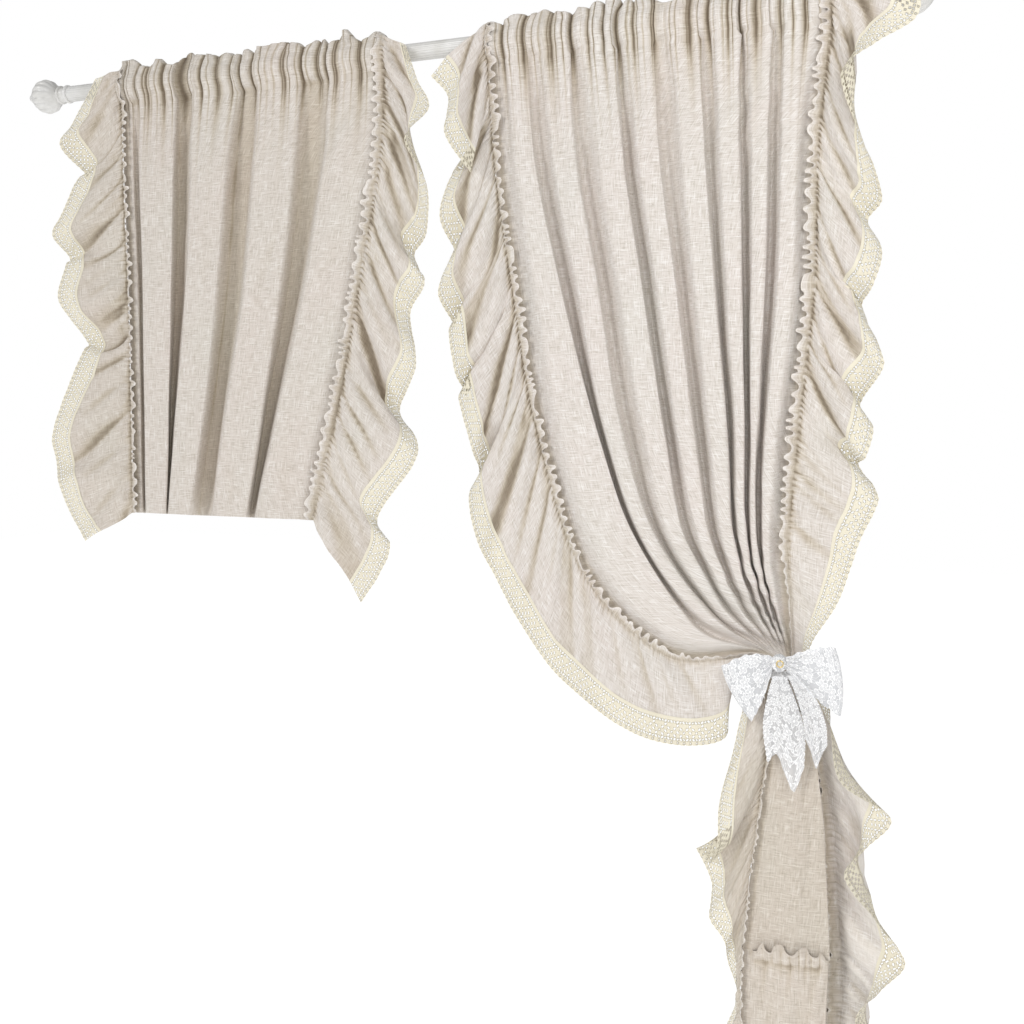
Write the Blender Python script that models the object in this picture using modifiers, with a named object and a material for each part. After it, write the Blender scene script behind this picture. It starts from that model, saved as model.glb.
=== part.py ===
# Ruffled linen curtain pair on a white rod, the right one tied back with a lace bow.
# Metres, Z up, origin on the rod's axis at mid length, +Y to the wall, rod along X.
import math

import bmesh
import bpy
import numpy as np

MM = 0.001

# The tables below give x and z in mm on the upright plane through the rod, as met by
# the line from EYE, and a depth in mm (minus is into the room). seen() moves each
# point along that line to its depth, so that the outline stays where it is seen.
EYE = np.array((1270.0, -2400.0, -705.0))

ROD_DIAMETER = 35
ROD_HALF = 905
# finial: distance from the rod's end and radius, from the collar to the tip
FINIAL_PROFILE = (
    (0.4, 0), (0.4, 19), (6, 20.5), (12, 17), (18, 17), (24, 20.5), (30, 15), (34, 12),
    (38, 14), (42, 22), (52, 32), (66, 36), (82, 33), (94, 24), (102, 13), (108, 8), (114, 7), (122, 0),
)
FINIAL_STEPS = 12

# Cloth: thicknesses, the lace and the gap its seam needs, how far the ruffles lie in front
# of the panel, the narrow frill that heads each ruffle, and the panel's flat edge.
CLOTH = 1.2
LACE_CLOTH = 1.0
LACE_WIDTH = 48
LACE_SHARE = 0.34
SEWN_GAP = 2.8
SEWN_GAP_AT_TIE = 1.6
IN_FRONT = 4.0
FRILL = 18
FRILL_AT_TIE = 0.88
FRILL_FORWARD = 2
EDGE_ZONE = 26

# Header and rod pocket: heights and depths of the folded-over cloth. The pocket's front
# stands forward over a fold below it by a share of that fold's depth beyond the rest.
HEADER_TOP = 46
HEADER_WAVES = ((5, 31, 0), (4, 13, 1))
TOP_FOLD = 3
FOLD_FRONT = -2
FOLD_SHARE = 0.2
FOLD_BACK = 2
SEAM_BELOW_TOP = 11
POCKET_HALF = 34
POCKET_FRONT = -22.5
POCKET_BACK = 22.5
POCKET_STITCH_FRONT = -7
POCKET_STITCH_BACK = 3
POCKET_REST = -6
POCKET_SHARE = 0.45
FRONT_HEIGHTS = (-28, -10, 10, 28)
BACK_HEIGHTS = (28, 10, -10, -40)

# Left panel: x of every line at the heights of LEFT_LEVELS. front is 1 for a ridge's
# shoulder, 0 for the bottom of a valley.
LEFT_LEVELS = (-40, -200, -460, -700, -965)
LEFT_LINES = (
    # front, x at each level
    (0.35, (-755, -755, -750, -750, -752)),
    (0.35, (-729, -729, -724, -724, -726)),
    (0.00, (-712, -715, -712, -712, -714)),
    (1.00, (-688, -698, -703, -708, -712)),
    (0.95, (-622, -630, -640, -650, -664)),
    (0.00, (-575, -588, -606, -630, -655)),
    (1.00, (-535, -556, -582, -612, -645)),
    (0.95, (-465, -495, -523, -556, -604)),
    (0.00, (-405, -425, -455, -500, -550)),
    (1.00, (-367, -386, -420, -468, -518)),
    (0.95, (-300, -318, -353, -396, -445)),
    (0.00, (-235, -255, -300, -362, -425)),
    (1.00, (-188, -210, -262, -328, -405)),
    (1.10, (-140, -160, -205, -265, -345)),
    (0.75, (-101, -111, -164, -216, -288)),
    (0.75, (-75, -85, -138, -190, -262)),
)
# depth in mm of the valleys and of the ridges at each level
LEFT_BACK = (-6, -6, -6, -6, -6)
LEFT_FRONT = (-24, -44, -52, -55, -55)

# Right panel: x, z of every line at pocket, upper, middle, lower, swag and turn.
RIGHT_LINES = {
    "seam": ((160, -40), (175, -250), (215, -500), (262, -750), (365, -1045), (545, -1200)),
    "a": ((226, -40), (248, -250), (303, -490), (375, -740), (458, -965), (590, -1140)),
    "b": ((311, -40), (328, -250), (375, -485), (424, -750), (500, -965), (622, -1115)),
    "c": ((405, -40), (428, -250), (470, -490), (516, -750), (556, -945), (646, -1098)),
    "d": ((485, -40), (500, -250), (535, -480), (572, -740), (610, -945), (674, -1088)),
    "e": ((573, -40), (590, -250), (612, -480), (640, -740), (660, -950), (701, -1080)),
    "f": ((650, -40), (656, -250), (668, -490), (680, -740), (688, -955), (720, -1078)),
    "g": ((710, -40), (710, -250), (710, -490), (706, -740), (708, -955), (734, -1077)),
    "h": ((770, -40), (765, -250), (760, -490), (738, -740), (730, -960), (748, -1077)),
    "end": ((833, -40), (814, -250), (812, -490), (790, -740), (773, -960), (781, -1080)),
}
RIGHT_BACK = (-6, -5, -5, -6, -10, -14)
RIGHT_FRONT = (-24, -44, -52, -56, -52, -42)
RIGHT_SEAM = (-10, -20, -24, -26, -28, -26)
VALLEY_SHARE = 0.36
NECK_LEVELS = (-1182, -1234)
NECK_LEFT = 728
NECK_RIGHT = 786
NECK_DEPTH = -20
NECK_SPREAD = 12

# Tail below the tie: levels, its left and right edge as seen, and how the cloth lies
# there in layers, one behind the other.
TAIL_LEVELS = (-1345, -1500, -1760)
TAIL_LEFT = (740, 722, 696)
TAIL_RIGHT = (822, 845, 862)
TAIL_FRONT = (-40, -46, -48)
TAIL_BACK = (8, 18, 24)
# share of the tail's width at which each line and valley lies, from seam to end, and
# the line from which the cloth starts to lie behind itself
TAIL_SHARES = (
    0.00, 0.14, 0.22, 0.32, 0.42, 0.52, 0.64, 0.80, 1.00, 0.55,
    0.05, 0.50, 0.95, 0.50, 0.06, 0.45, 0.82, 1.00, 1.12,
)
TAIL_BEHIND = 6

# Hems of the side ruffles: station along the seam, x and z of the hem, its depth, and
# how far the middle of the ruffle stands out sideways beyond the straight line.
LEFT_OUTER_HEM = (
    (-1.0, -830, 28, -34, 0),
    (-0.5, -895, -60, -45, 0),
    (-0.1, -940, -112, -60, 0),
    (0.4, -862, -188, 0, 0),
    (0.8, -888, -192, -42, 0),
    (1.1, -945, -275, -65, 0),
    (1.3, -970, -318, -52, 0),
    (1.55, -922, -372, -4, 0),
    (1.75, -934, -392, -42, 0),
    (1.95, -960, -462, -55, 0),
    (2.2, -925, -515, -38, 0),
    (2.42, -872, -572, 0, 0),
    (2.62, -888, -590, -40, 0),
    (2.9, -942, -682, -60, 0),
    (3.15, -988, -785, -62, 0),
    (3.35, -980, -850, -40, 0),
    (3.6, -972, -905, -58, 0),
    (3.8, -940, -975, -40, 0),
    (4.0, -897, -1038, -46, 0),
)
LEFT_INNER_HEM = (
    (-1.0, -28, 18, -36, 0),
    (-0.6, 0, -55, -38, 0),
    (-0.2, 26, -112, -52, 0),
    (0.2, -30, -168, -72, 30),
    (0.6, 18, -262, -56, 15),
    (1.05, 20, -360, -22, 0),
    (1.3, -10, -408, 2, 0),
    (1.52, 14, -465, -42, 0),
    (1.8, -20, -525, -4, 0),
    (2.15, -8, -632, -55, 0),
    (2.5, -46, -728, -10, 0),
    (2.8, -6, -788, -48, 0),
    (3.1, -18, -842, -64, 0),
    (3.5, -102, -952, -22, 0),
    (3.75, -72, -1010, -44, 0),
    (3.9, -100, -1076, -52, 0),
    (4.0, -145, -1138, -46, 0),
)
RIGHT_INNER_HEM = (
    (-1.0, 32, -50, -44, 0),
    (-0.7, 68, -90, -50, 0),
    (-0.3, 66, -130, -72, 0),
    (-0.05, 64, -172, -84, 0),
    (0.3, 118, -246, -82, 0),
    (0.44, 110, -230, -54, 0),
    (0.6, 80, -246, -24, 0),
    (0.72, 50, -330, -34, 0),
    (0.9, 84, -402, -2, 0),
    (1.08, 70, -422, -48, 0),
    (1.28, 46, -486, -66, 0),
    (1.45, 82, -552, -16, 0),
    (1.62, 70, -562, -56, 0),
    (1.85, 84, -650, -70, 0),
    (2.0, 112, -692, -20, 0),
    (2.15, 92, -700, -56, 0),
    (2.4, 120, -800, -76, 0),
    (2.62, 138, -852, -30, 0),
    (2.82, 113, -900, -62, 0),
    (3.1, 132, -990, -76, 0),
    (3.35, 172, -1062, -46, 0),
    (3.65, 222, -1146, -68, 0),
    (3.95, 292, -1238, -50, 0),
    (4.25, 356, -1292, -70, 0),
    (4.55, 430, -1340, -50, 0),
    (4.85, 505, -1368, -66, 0),
    (5.2, 590, -1372, -46, 0),
    (5.52, 656, -1350, -30, 0),
    (5.66, 662, -1300, -14, 0),
    (5.8, 656, -1240, -16, 0),
    (5.92, 681, -1210, -22, 0),
    (6.08, 708, -1196, -31, 0),
    (6.3, 712, -1200, -28, 0),
    (6.7, 712, -1220, -27, 0),
    (7.0, 710, -1238, -32, 0),
    (7.22, 690, -1296, -54, 0),
    (7.6, 672, -1380, -66, 0),
    (8.1, 648, -1480, -72, 0),
    (8.55, 645, -1568, -70, 0),
    (8.75, 630, -1600, -44, 0),
    (8.9, 604, -1574, -14, 0),
    (9.1, 636, -1640, 2, 0),
    (9.35, 632, -1708, -34, 0),
    (9.6, 662, -1752, -46, 0),
    (9.85, 670, -1795, -14, 0),
    (10.3, 688, -1860, -34, 0),
    (11., 655, -1955, -30, 0),
)
RIGHT_OUTER_HEM = (
    (-1.0, 985, 8, -58, 0),
    (-0.8, 974, -44, -62, 0),
    (-0.55, 908, -78, -72, 10),
    (-0.3, 856, -114, -88, 22),
    (-0.1, 854, -150, -82, 26),
    (0.3, 882, -225, -76, 14),
    (0.7, 915, -305, -58, 0),
    (0.95, 925, -352, -28, 0),
    (1.12, 902, -388, 0, 0),
    (1.3, 928, -440, -46, 0),
    (1.55, 914, -500, -64, 0),
    (1.75, 896, -538, -10, 0),
    (1.98, 925, -605, -50, 0),
    (2.2, 934, -648, -62, 0),
    (2.42, 896, -712, -6, 0),
    (2.6, 920, -752, -48, 0),
    (2.8, 908, -806, -58, 0),
    (2.95, 896, -822, -12, 0),
    (3.2, 930, -872, -50, 0),
    (3.5, 925, -905, -58, 0),
    (3.9, 900, -962, -52, 0),
    (4.5, 866, -1070, -42, 0),
    (5.3, 822, -1145, -30, 0),
    (6.0, 810, -1184, -20, 0),
    (6.9, 808, -1216, -20, 0),
    (7.25, 850, -1262, -38, 0),
    (7.5, 858, -1325, -60, 16),
    (7.85, 878, -1412, -70, 26),
    (8.2, 968, -1467, -44, 0),
    (8.6, 925, -1530, -60, 20),
    (8.95, 888, -1590, -72, 44),
    (9.4, 950, -1668, -58, 12),
    (9.8, 1000, -1735, -34, 0),
    (10.2, 955, -1800, -54, 20),
    (10.5, 914, -1866, -68, 36),
    (11., 962, -1955, -40, 0),
)

BOTTOM_DROP = 205
# rows of the bottom ruffle's cloth, from the panel's bottom edge: height on the tail's
# front, height behind it, and how far forward the front stands
BOTTOM_ROWS = (
    (16, -2.5, 4.6),
    (6, -4, 4.6),
    (-5, -6, 4.6),
    (-20, -20, 0),
    (-86, -86, 0),
    (-155, -155, 0),
)
BOTTOM_WAVE = 5
BOTTOM_PERIOD = 62
# the waves grow to their full size over this height, and over this length from each end
BOTTOM_GROWTH = 150
BOTTOM_CALM = 60
# distances in from the front's start and end at which it stands forward and rises
FORWARD_FROM = (2, -6)
FORWARD_OVER = 3
RISE_FROM = (12, 22)
RISE_OVER = 10

BAND_CENTRE = (757, -1213)
BAND_HALF_WIDTH = 60
BAND_HALF_DEPTH = 31
BAND_HEIGHT = 16
BAND_STEPS = 24

# Bow: the knot, and for each loop its top and bottom outer corners.
BOW_CLOTH = 1.2
KNOT = (759, -1196, -62)
KNOT_SIZE = (30, 20, 34)
LOOPS = (
    # name, top corner, bottom corner, how much its top edge rises above the straight
    ("bow_loop_left", (648, -1212), (708, -1312), 26),
    ("bow_loop_right", (862, -1158), (872, -1272), 12),
)
LOOP_ROOM = 13
LOOP_ROOT = 3
LOOP_ROOT_HALF = 9
LOOP_PLEAT = 2.5
TAIL_FOLD = 3
# Bow tails: at each share of the length, left and right edge and depth; then how far
# the points of the bottom edge lie below the last level, from left to right.
TAILS = {
    "bow_tail_centre": (
        ((-1222, 748, 772, -62), (-1262, 738, 790, -66), (-1312, 731, 808, -66), (-1368, 740, 808, -64)),
        (20, 2, 40, 70, 24),
    ),
    "bow_tail_right": (
        ((-1218, 776, 790, -70), (-1255, 792, 826, -80), (-1300, 806, 846, -88), (-1338, 812, 850, -88)),
        (0, 22, 50, 26, 6),
    ),
}
RING_RADIUS = 6
RING_WIRE = 1.3
RING_GAP = 0.5


def seen(x, z, depth):
    """The point in mm at this depth on the line from the eye through x, z."""
    share = (depth - EYE[1]) / -EYE[1]
    return np.array((EYE[0] + (x - EYE[0]) * share, depth, EYE[2] + (z - EYE[2]) * share))


def spline(points, at):
    """The smooth curve through points (first axis) at position at, 0 at the first."""
    points = np.asarray(points, float)
    last = len(points) - 1
    k = int(min(max(math.floor(at), 0), last - 1))
    f = at - k
    before = points[k - 1] if k else 2 * points[0] - points[1]
    after = points[k + 2] if k + 2 <= last else 2 * points[last] - points[last - 1]
    start = (points[k + 1] - before) / 2
    end = (after - points[k]) / 2
    a = 2 * points[k] - 2 * points[k + 1] + start + end
    b = -3 * points[k] + 3 * points[k + 1] - 2 * start - end
    return points[k] + f * (start + f * (b + f * a))


def left_net():
    """Control points of the left skirt: one row per level, one column per line."""
    net = []
    for row, z in enumerate(LEFT_LEVELS):
        back, front = LEFT_BACK[row], LEFT_FRONT[row]
        net.append([seen(xs[row], z, back + (front - back) * w) for w, xs in LEFT_LINES])
    return np.array(net)


def right_upper_row(row):
    """Control points of the right skirt at one level above the tie."""
    names = list(RIGHT_LINES)
    seams = [seen(*point, depth) for point, depth in zip(RIGHT_LINES["seam"], RIGHT_SEAM)]
    seams.append(seen(NECK_LEFT, NECK_LEVELS[0], NECK_DEPTH - NECK_SPREAD))
    along = seams[row + 1] - seams[max(row - 1, 0)]
    along /= np.linalg.norm(along)
    inward = np.array((-along[2], 0, along[0]))
    points = [seams[row], seams[row] + EDGE_ZONE * inward]
    for name, following in zip(names[1:-1], names[2:]):
        x, z = RIGHT_LINES[name][row]
        next_x, next_z = RIGHT_LINES[following][row]
        points.append(seen(x, z, RIGHT_FRONT[row]))
        valley_x = x + (next_x - x) * VALLEY_SHARE
        valley_z = z + (next_z - z) * VALLEY_SHARE
        points.append(seen(valley_x, valley_z, RIGHT_BACK[row]))
    end = seen(*RIGHT_LINES["end"][row], RIGHT_SEAM[row])
    zone = min(EDGE_ZONE, 0.6 * (end[0] - points[-2][0]))
    points[-1] = end - np.array((zone, 0, 0))
    return points + [end]


def neck_row(z, count):
    """Control points where the tie holds the cloth, bunched from front left to back right."""
    row = []
    for k in range(count):
        share = k / (count - 1)
        x = NECK_LEFT + (NECK_RIGHT - NECK_LEFT) * share
        row.append(seen(x, z, NECK_DEPTH + (2 * share - 1) * NECK_SPREAD))
    return row


def tail_row(row, count):
    """Control points of the tail at one level: a broad front and the rest folded behind."""
    left, right = TAIL_LEFT[row], TAIL_RIGHT[row]
    front, back = TAIL_FRONT[row], TAIL_BACK[row]
    points = []
    for k in range(count):
        behind = min(1.0, max(0, k - TAIL_BEHIND) / (count - 3 - TAIL_BEHIND))
        x = left + (right - left) * TAIL_SHARES[k]
        points.append(seen(x, TAIL_LEVELS[row], front + (back - front) * behind))
        points[-1][2] = points[0][2]
    return points


def right_net():
    """Control points of the right skirt, from the pocket through the tie to the tail."""
    net = [right_upper_row(row) for row in range(len(RIGHT_BACK))]
    count = len(net[0])
    net += [neck_row(z, count) for z in NECK_LEVELS]
    net += [tail_row(row, count) for row in range(len(TAIL_LEVELS))]
    return np.array(net)


def surface(net, rows, columns):
    """The smooth surface over a net of control points."""
    down = np.linspace(0, len(net) - 1, rows)
    across = np.linspace(0, net.shape[1] - 1, columns)
    lines = [spline(net, v) for v in down]
    return np.array([[spline(line, u) for u in across] for line in lines])


def ramp(share):
    return min(1.0, max(0.0, share))


def header_top(x):
    return HEADER_TOP + sum(high * math.sin(x / length + turn) for high, length, turn in HEADER_WAVES)


def pocket(z, side, stitch):
    """Depth of the pocket's cloth at height z: side is its depth at the rod's height."""
    return stitch + (side - stitch) * math.sqrt(max(0.0, 1 - (z / POCKET_HALF) ** 2))


def up_the_front(z, foot_depth):
    """Depth of the pocket's front at height z, over cloth that hangs at foot_depth."""
    stand = (foot_depth - POCKET_REST) * POCKET_SHARE
    depths = [foot_depth]
    for height in FRONT_HEIGHTS:
        depths.append(pocket(height, POCKET_FRONT, POCKET_STITCH_FRONT) + stand)
    depths.append(POCKET_STITCH_FRONT + 1 + stand)
    heights = (LEFT_LEVELS[0], *FRONT_HEIGHTS, HEADER_TOP - TOP_FOLD)
    return np.interp(z, heights, depths)


def header_rows(first):
    """Rows above the skirt's first row: up in front of the rod, over the top, down behind."""
    rows = []
    for z in FRONT_HEIGHTS:
        rows.append([(point[0], up_the_front(z, point[1]), z) for point in first])
    tops = [header_top(point[0]) for point in first]
    front, over, behind = [], [], []
    for (x, foot_depth, _), top in zip(first, tops):
        front.append((x, up_the_front(HEADER_TOP - TOP_FOLD, foot_depth), top - TOP_FOLD))
        over.append((x, FOLD_FRONT + (foot_depth - POCKET_REST) * FOLD_SHARE, top))
        behind.append((x, FOLD_BACK, top - TOP_FOLD))
    rows += [front, over, behind]
    for z in BACK_HEIGHTS:
        depth = pocket(z, POCKET_BACK, POCKET_STITCH_BACK)
        rows.append([(point[0], depth, z) for point in first])
    return np.array(rows[::-1])


def panel(net, rows, columns):
    """A panel's whole sheet: the hem of its pocket, the pocket, the header and the skirt."""
    skirt = surface(net, rows, columns)
    return np.concatenate([header_rows(skirt[0]), skirt])


def seam_line(net, side, tail_end):
    """A panel's edge as points at its stations, with one more below for the last ruffle."""
    points = [row[side] for row in net]
    if tail_end is not None:
        points.append(tail_end)
    return np.array(points)


def seam_at(line, at):
    """Point on the seam at a station; stations below 0 run up the pocket to the header."""
    if at >= 0:
        return spline(line, at)
    z = line[0][2] + (HEADER_TOP - SEAM_BELOW_TOP - line[0][2]) * -at
    return np.array((line[0][0], up_the_front(z, line[0][1]), z))


def ruffle(line, hem, steps, inner, pinched):
    """Cloth and lace of a side ruffle, as two grids. inner is the side the panel is on."""
    hem = np.array(hem, float)
    cloth, lace = [], []
    count = (len(hem) - 1) * steps
    for k in range(count + 1):
        at, x, z, depth, bulge = spline(hem, k / steps)
        at = min(max(at, hem[0][0]), hem[-1][0])
        seam = seam_at(line, at)
        ahead, behind = seam_at(line, min(at + 0.05, hem[-1][0])), seam_at(line, max(at - 0.05, -1))
        along = ahead - behind
        along[1] = 0
        along /= np.linalg.norm(along)
        inward = inner * np.array((-along[2], 0, along[0]))
        seam = seam + np.array((0, -IN_FRONT, 0))
        edge = seen(x, z, depth)
        middle = (seam + edge) / 2 + np.array((-inner * 2 * bulge, 0.6 * bulge, 0))
        length = np.linalg.norm(middle - seam) + np.linalg.norm(edge - middle)
        start = 1 - min(LACE_WIDTH, LACE_SHARE * length) / length
        stop = start - SEWN_GAP * (1 + SEWN_GAP_AT_TIE * closed(at, 0.9)) / length
        frill = FRILL * (1 - FRILL_AT_TIE * closed(at, pinched))
        row = [seam + inward * frill - np.array((0, FRILL_FORWARD, 0))]
        for share in np.linspace(0, 1, 4):
            row.append(curve(seam, middle, edge, share * stop))
        cloth.append(row)
        lace.append([curve(seam, middle, edge, start), curve(seam, middle, edge, 1)])
    return np.array(cloth), np.array(lace)


def closed(at, reach):
    """How far the cloth is drawn together: 1 at the tie, 0 past this many stations."""
    return math.exp(-(((at - 6.5) / reach) ** 4))


def curve(start, middle, end, t):
    return (1 - t) ** 2 * start + 2 * t * (1 - t) * middle + t**2 * end


def make_material(name, colour, roughness):
    material = bpy.data.materials.new(name)
    material.use_nodes = True
    shader = material.node_tree.nodes["Principled BSDF"]
    shader.inputs["Base Color"].default_value = (*colour, 1)
    shader.inputs["Roughness"].default_value = roughness
    return material


def add_object(name, mesh, material, folder):
    piece = bpy.data.objects.new(name, mesh)
    piece.data.materials.append(material)
    folder.objects.link(piece)
    return piece


def add_sheet(name, grid, thickness, material, folder):
    """A grid primitive moved onto the points of grid (mm), given its thickness."""
    rows, columns = grid.shape[:2]
    mesh = bpy.data.meshes.new(name)
    work = bmesh.new()
    bmesh.ops.create_grid(work, x_segments=columns - 1, y_segments=rows - 1, size=1)
    for vertex in work.verts:
        k = round((vertex.co.x + 1) / 2 * (columns - 1))
        j = round((vertex.co.y + 1) / 2 * (rows - 1))
        vertex.co = [float(c) * MM for c in grid[j][k]]
    work.to_mesh(mesh)
    work.free()
    piece = add_object(name, mesh, material, folder)
    wall = piece.modifiers.new("thickness", "SOLIDIFY")
    wall.thickness = thickness * MM
    wall.offset = 0
    wall.use_even_offset = False
    return piece


def add_band(material, folder):
    """The band round the neck: an open cylinder drawn out to an oval."""
    mesh = bpy.data.meshes.new("tie_band")
    work = bmesh.new()
    bmesh.ops.create_cone(work, cap_ends=False, segments=BAND_STEPS, radius1=1, radius2=1, depth=1)
    for vertex in work.verts:
        sizes = (BAND_HALF_WIDTH, BAND_HALF_DEPTH, BAND_HEIGHT)
        vertex.co = [c * size * MM for c, size in zip(vertex.co, sizes)]
    work.to_mesh(mesh)
    work.free()
    piece = add_object("tie_band", mesh, material, folder)
    piece.location = [float(c) * MM for c in seen(*BAND_CENTRE, NECK_DEPTH)]
    wall = piece.modifiers.new("thickness", "SOLIDIFY")
    wall.thickness = CLOTH * MM
    wall.offset = 0


def loop_grid(top, bottom, rise, rows, columns):
    """A bow loop: out along its front, round its end and back behind."""
    side = 1 if top[0] > KNOT[0] else -1
    root_x = KNOT[0] + side * (KNOT_SIZE[0] / 2 + LOOP_ROOT)
    grid = []
    for u in np.linspace(0, 1, rows):
        out = math.sin(math.pi * u)
        depth = KNOT[2] - LOOP_ROOM * math.cos(math.pi * u) * (0.35 + 0.65 * out)
        row = []
        for w in np.linspace(0, 1, columns):
            root_z = KNOT[1] + LOOP_ROOT_HALF * (1 - 2 * w)
            end_x = top[0] + (bottom[0] - top[0]) * w
            end_z = top[1] + (bottom[1] - top[1]) * w
            lift = rise * (1 - 2 * w) * math.sin(math.pi * out) * 0.5
            x = root_x + (end_x - root_x) * out
            z = root_z + (end_z - root_z) * out + lift
            pleat = LOOP_PLEAT * math.sin(math.pi * 4 * w) * (1 - 0.5 * out)
            row.append(seen(x, z, depth + pleat))
        grid.append(row)
    return np.array(grid)


def tail_grid(levels, points_below, rows, columns):
    """A bow tail: a strip that widens down from the knot to a pointed end."""
    grid = []
    for v in np.linspace(0, 1, rows):
        z, left, right, depth = spline(levels, v * (len(levels) - 1))
        row = []
        for w in np.linspace(0, 1, columns):
            below = spline(np.array(points_below, float)[:, None], w * (len(points_below) - 1))[0]
            fold = TAIL_FOLD * math.sin(math.pi * 3 * w) * v
            row.append(seen(left + (right - left) * w, z - below * v**2, depth + fold))
        grid.append(row)
    return np.array(grid)


def bottom_ruffle(net, columns):
    """The gathered strip along the tail's bottom edge: cloth and lace grids."""
    base = [spline(net[-1], u) for u in np.linspace(0, net.shape[1] - 1, 8 * net.shape[1])]
    foot = base[0][2]
    base = np.array(base)[:, :2]
    lengths = np.concatenate([[0], np.cumsum(np.linalg.norm(np.diff(base, axis=0), axis=1))])
    front = lengths[8 * (TAIL_BEHIND + 1)]
    cloth = [bottom_row(base, lengths, foot, front, heights, columns) for heights in BOTTOM_ROWS]
    lace_rows = ((LACE_WIDTH - BOTTOM_DROP,) * 2 + (0,), (-BOTTOM_DROP, -BOTTOM_DROP, 0))
    lace = [bottom_row(base, lengths, foot, front, heights, columns) for heights in lace_rows]
    return np.array(cloth), np.array(lace)


def bottom_row(base, lengths, foot, front, heights, columns):
    """One row of the bottom ruffle; it stands in front of the panel on its front only."""
    front_z, behind_z, forward = heights
    total = lengths[-1]
    drop = ramp(-front_z / BOTTOM_GROWTH)
    row = []
    for s in np.linspace(0, total, columns):
        ahead, behind = point_at(base, lengths, min(s + 3, total)), point_at(base, lengths, max(s - 3, 0))
        along = (ahead - behind) / np.linalg.norm(ahead - behind)
        normal = np.array((along[1], -along[0]))
        share = inside(s, FORWARD_FROM, front, FORWARD_OVER)
        lift = inside(s, RISE_FROM, front, RISE_OVER)
        calm = ramp(min(s, total - s) / BOTTOM_CALM)
        wave = BOTTOM_WAVE * drop * calm * math.sin(2 * math.pi * s / BOTTOM_PERIOD)
        x, y = point_at(base, lengths, s) + normal * (forward * share + wave)
        row.append((x, y, foot + behind_z + (front_z - behind_z) * lift))
    return row


def inside(s, margins, front, over):
    """1 between the frill and the front's end, less these margins, and 0 beyond them."""
    return ramp((s - FRILL - margins[0]) / over) * ramp((front - margins[1] - s) / over)


def point_at(base, lengths, s):
    return np.array((np.interp(s, lengths, base[:, 0]), np.interp(s, lengths, base[:, 1])))


def add_rod(material, folder):
    mesh = bpy.data.meshes.new("rod")
    work = bmesh.new()
    radius = ROD_DIAMETER / 2 * MM
    bmesh.ops.create_cone(
        work, cap_ends=True, segments=32, radius1=radius, radius2=radius, depth=2 * ROD_HALF * MM
    )
    work.to_mesh(mesh)
    work.free()
    piece = add_object("rod", mesh, material, folder)
    piece.rotation_euler = (0, math.pi / 2, 0)


def add_finial(name, side, material, folder):
    """The finial's profile, from its tip down, turned by a Screw modifier."""
    mesh = bpy.data.meshes.new(name)
    points = [(radius * MM, 0, distance * MM) for distance, radius in reversed(FINIAL_PROFILE)]
    edges = [(k, k + 1) for k in range(len(points) - 1)]
    mesh.from_pydata(points, edges, [])
    piece = add_object(name, mesh, material, folder)
    piece.location = (side * ROD_HALF * MM, 0, 0)
    piece.rotation_euler = (0, side * math.pi / 2, 0)
    turn = piece.modifiers.new("turn", "SCREW")
    turn.steps = FINIAL_STEPS
    turn.render_steps = FINIAL_STEPS
    turn.use_merge_vertices = True
    turn.merge_threshold = 0.0001


def add_knot(material, folder):
    mesh = bpy.data.meshes.new("bow_knot")
    work = bmesh.new()
    bmesh.ops.create_uvsphere(work, u_segments=14, v_segments=8, radius=0.5)
    for vertex in work.verts:
        vertex.co = [c * size * MM for c, size in zip(vertex.co, KNOT_SIZE)]
    work.to_mesh(mesh)
    work.free()
    piece = add_object("bow_knot", mesh, material, folder)
    piece.location = [float(c) * MM for c in seen(*KNOT)]


def add_ring(material, folder):
    """The small ring on the front of the knot."""
    depth = KNOT[2] - KNOT_SIZE[1] / 2 - RING_WIRE - RING_GAP
    bpy.ops.mesh.primitive_torus_add(
        major_segments=16,
        minor_segments=6,
        major_radius=RING_RADIUS * MM,
        minor_radius=RING_WIRE * MM,
        rotation=(math.pi / 2, 0, 0),
        location=[float(c) * MM for c in seen(KNOT[0] + 1, KNOT[1] - 2, depth)],
    )
    piece = bpy.context.object
    piece.name = "bow_ring"
    piece.data.materials.append(material)
    for holder in list(piece.users_collection):
        holder.objects.unlink(piece)
    folder.objects.link(piece)


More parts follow.
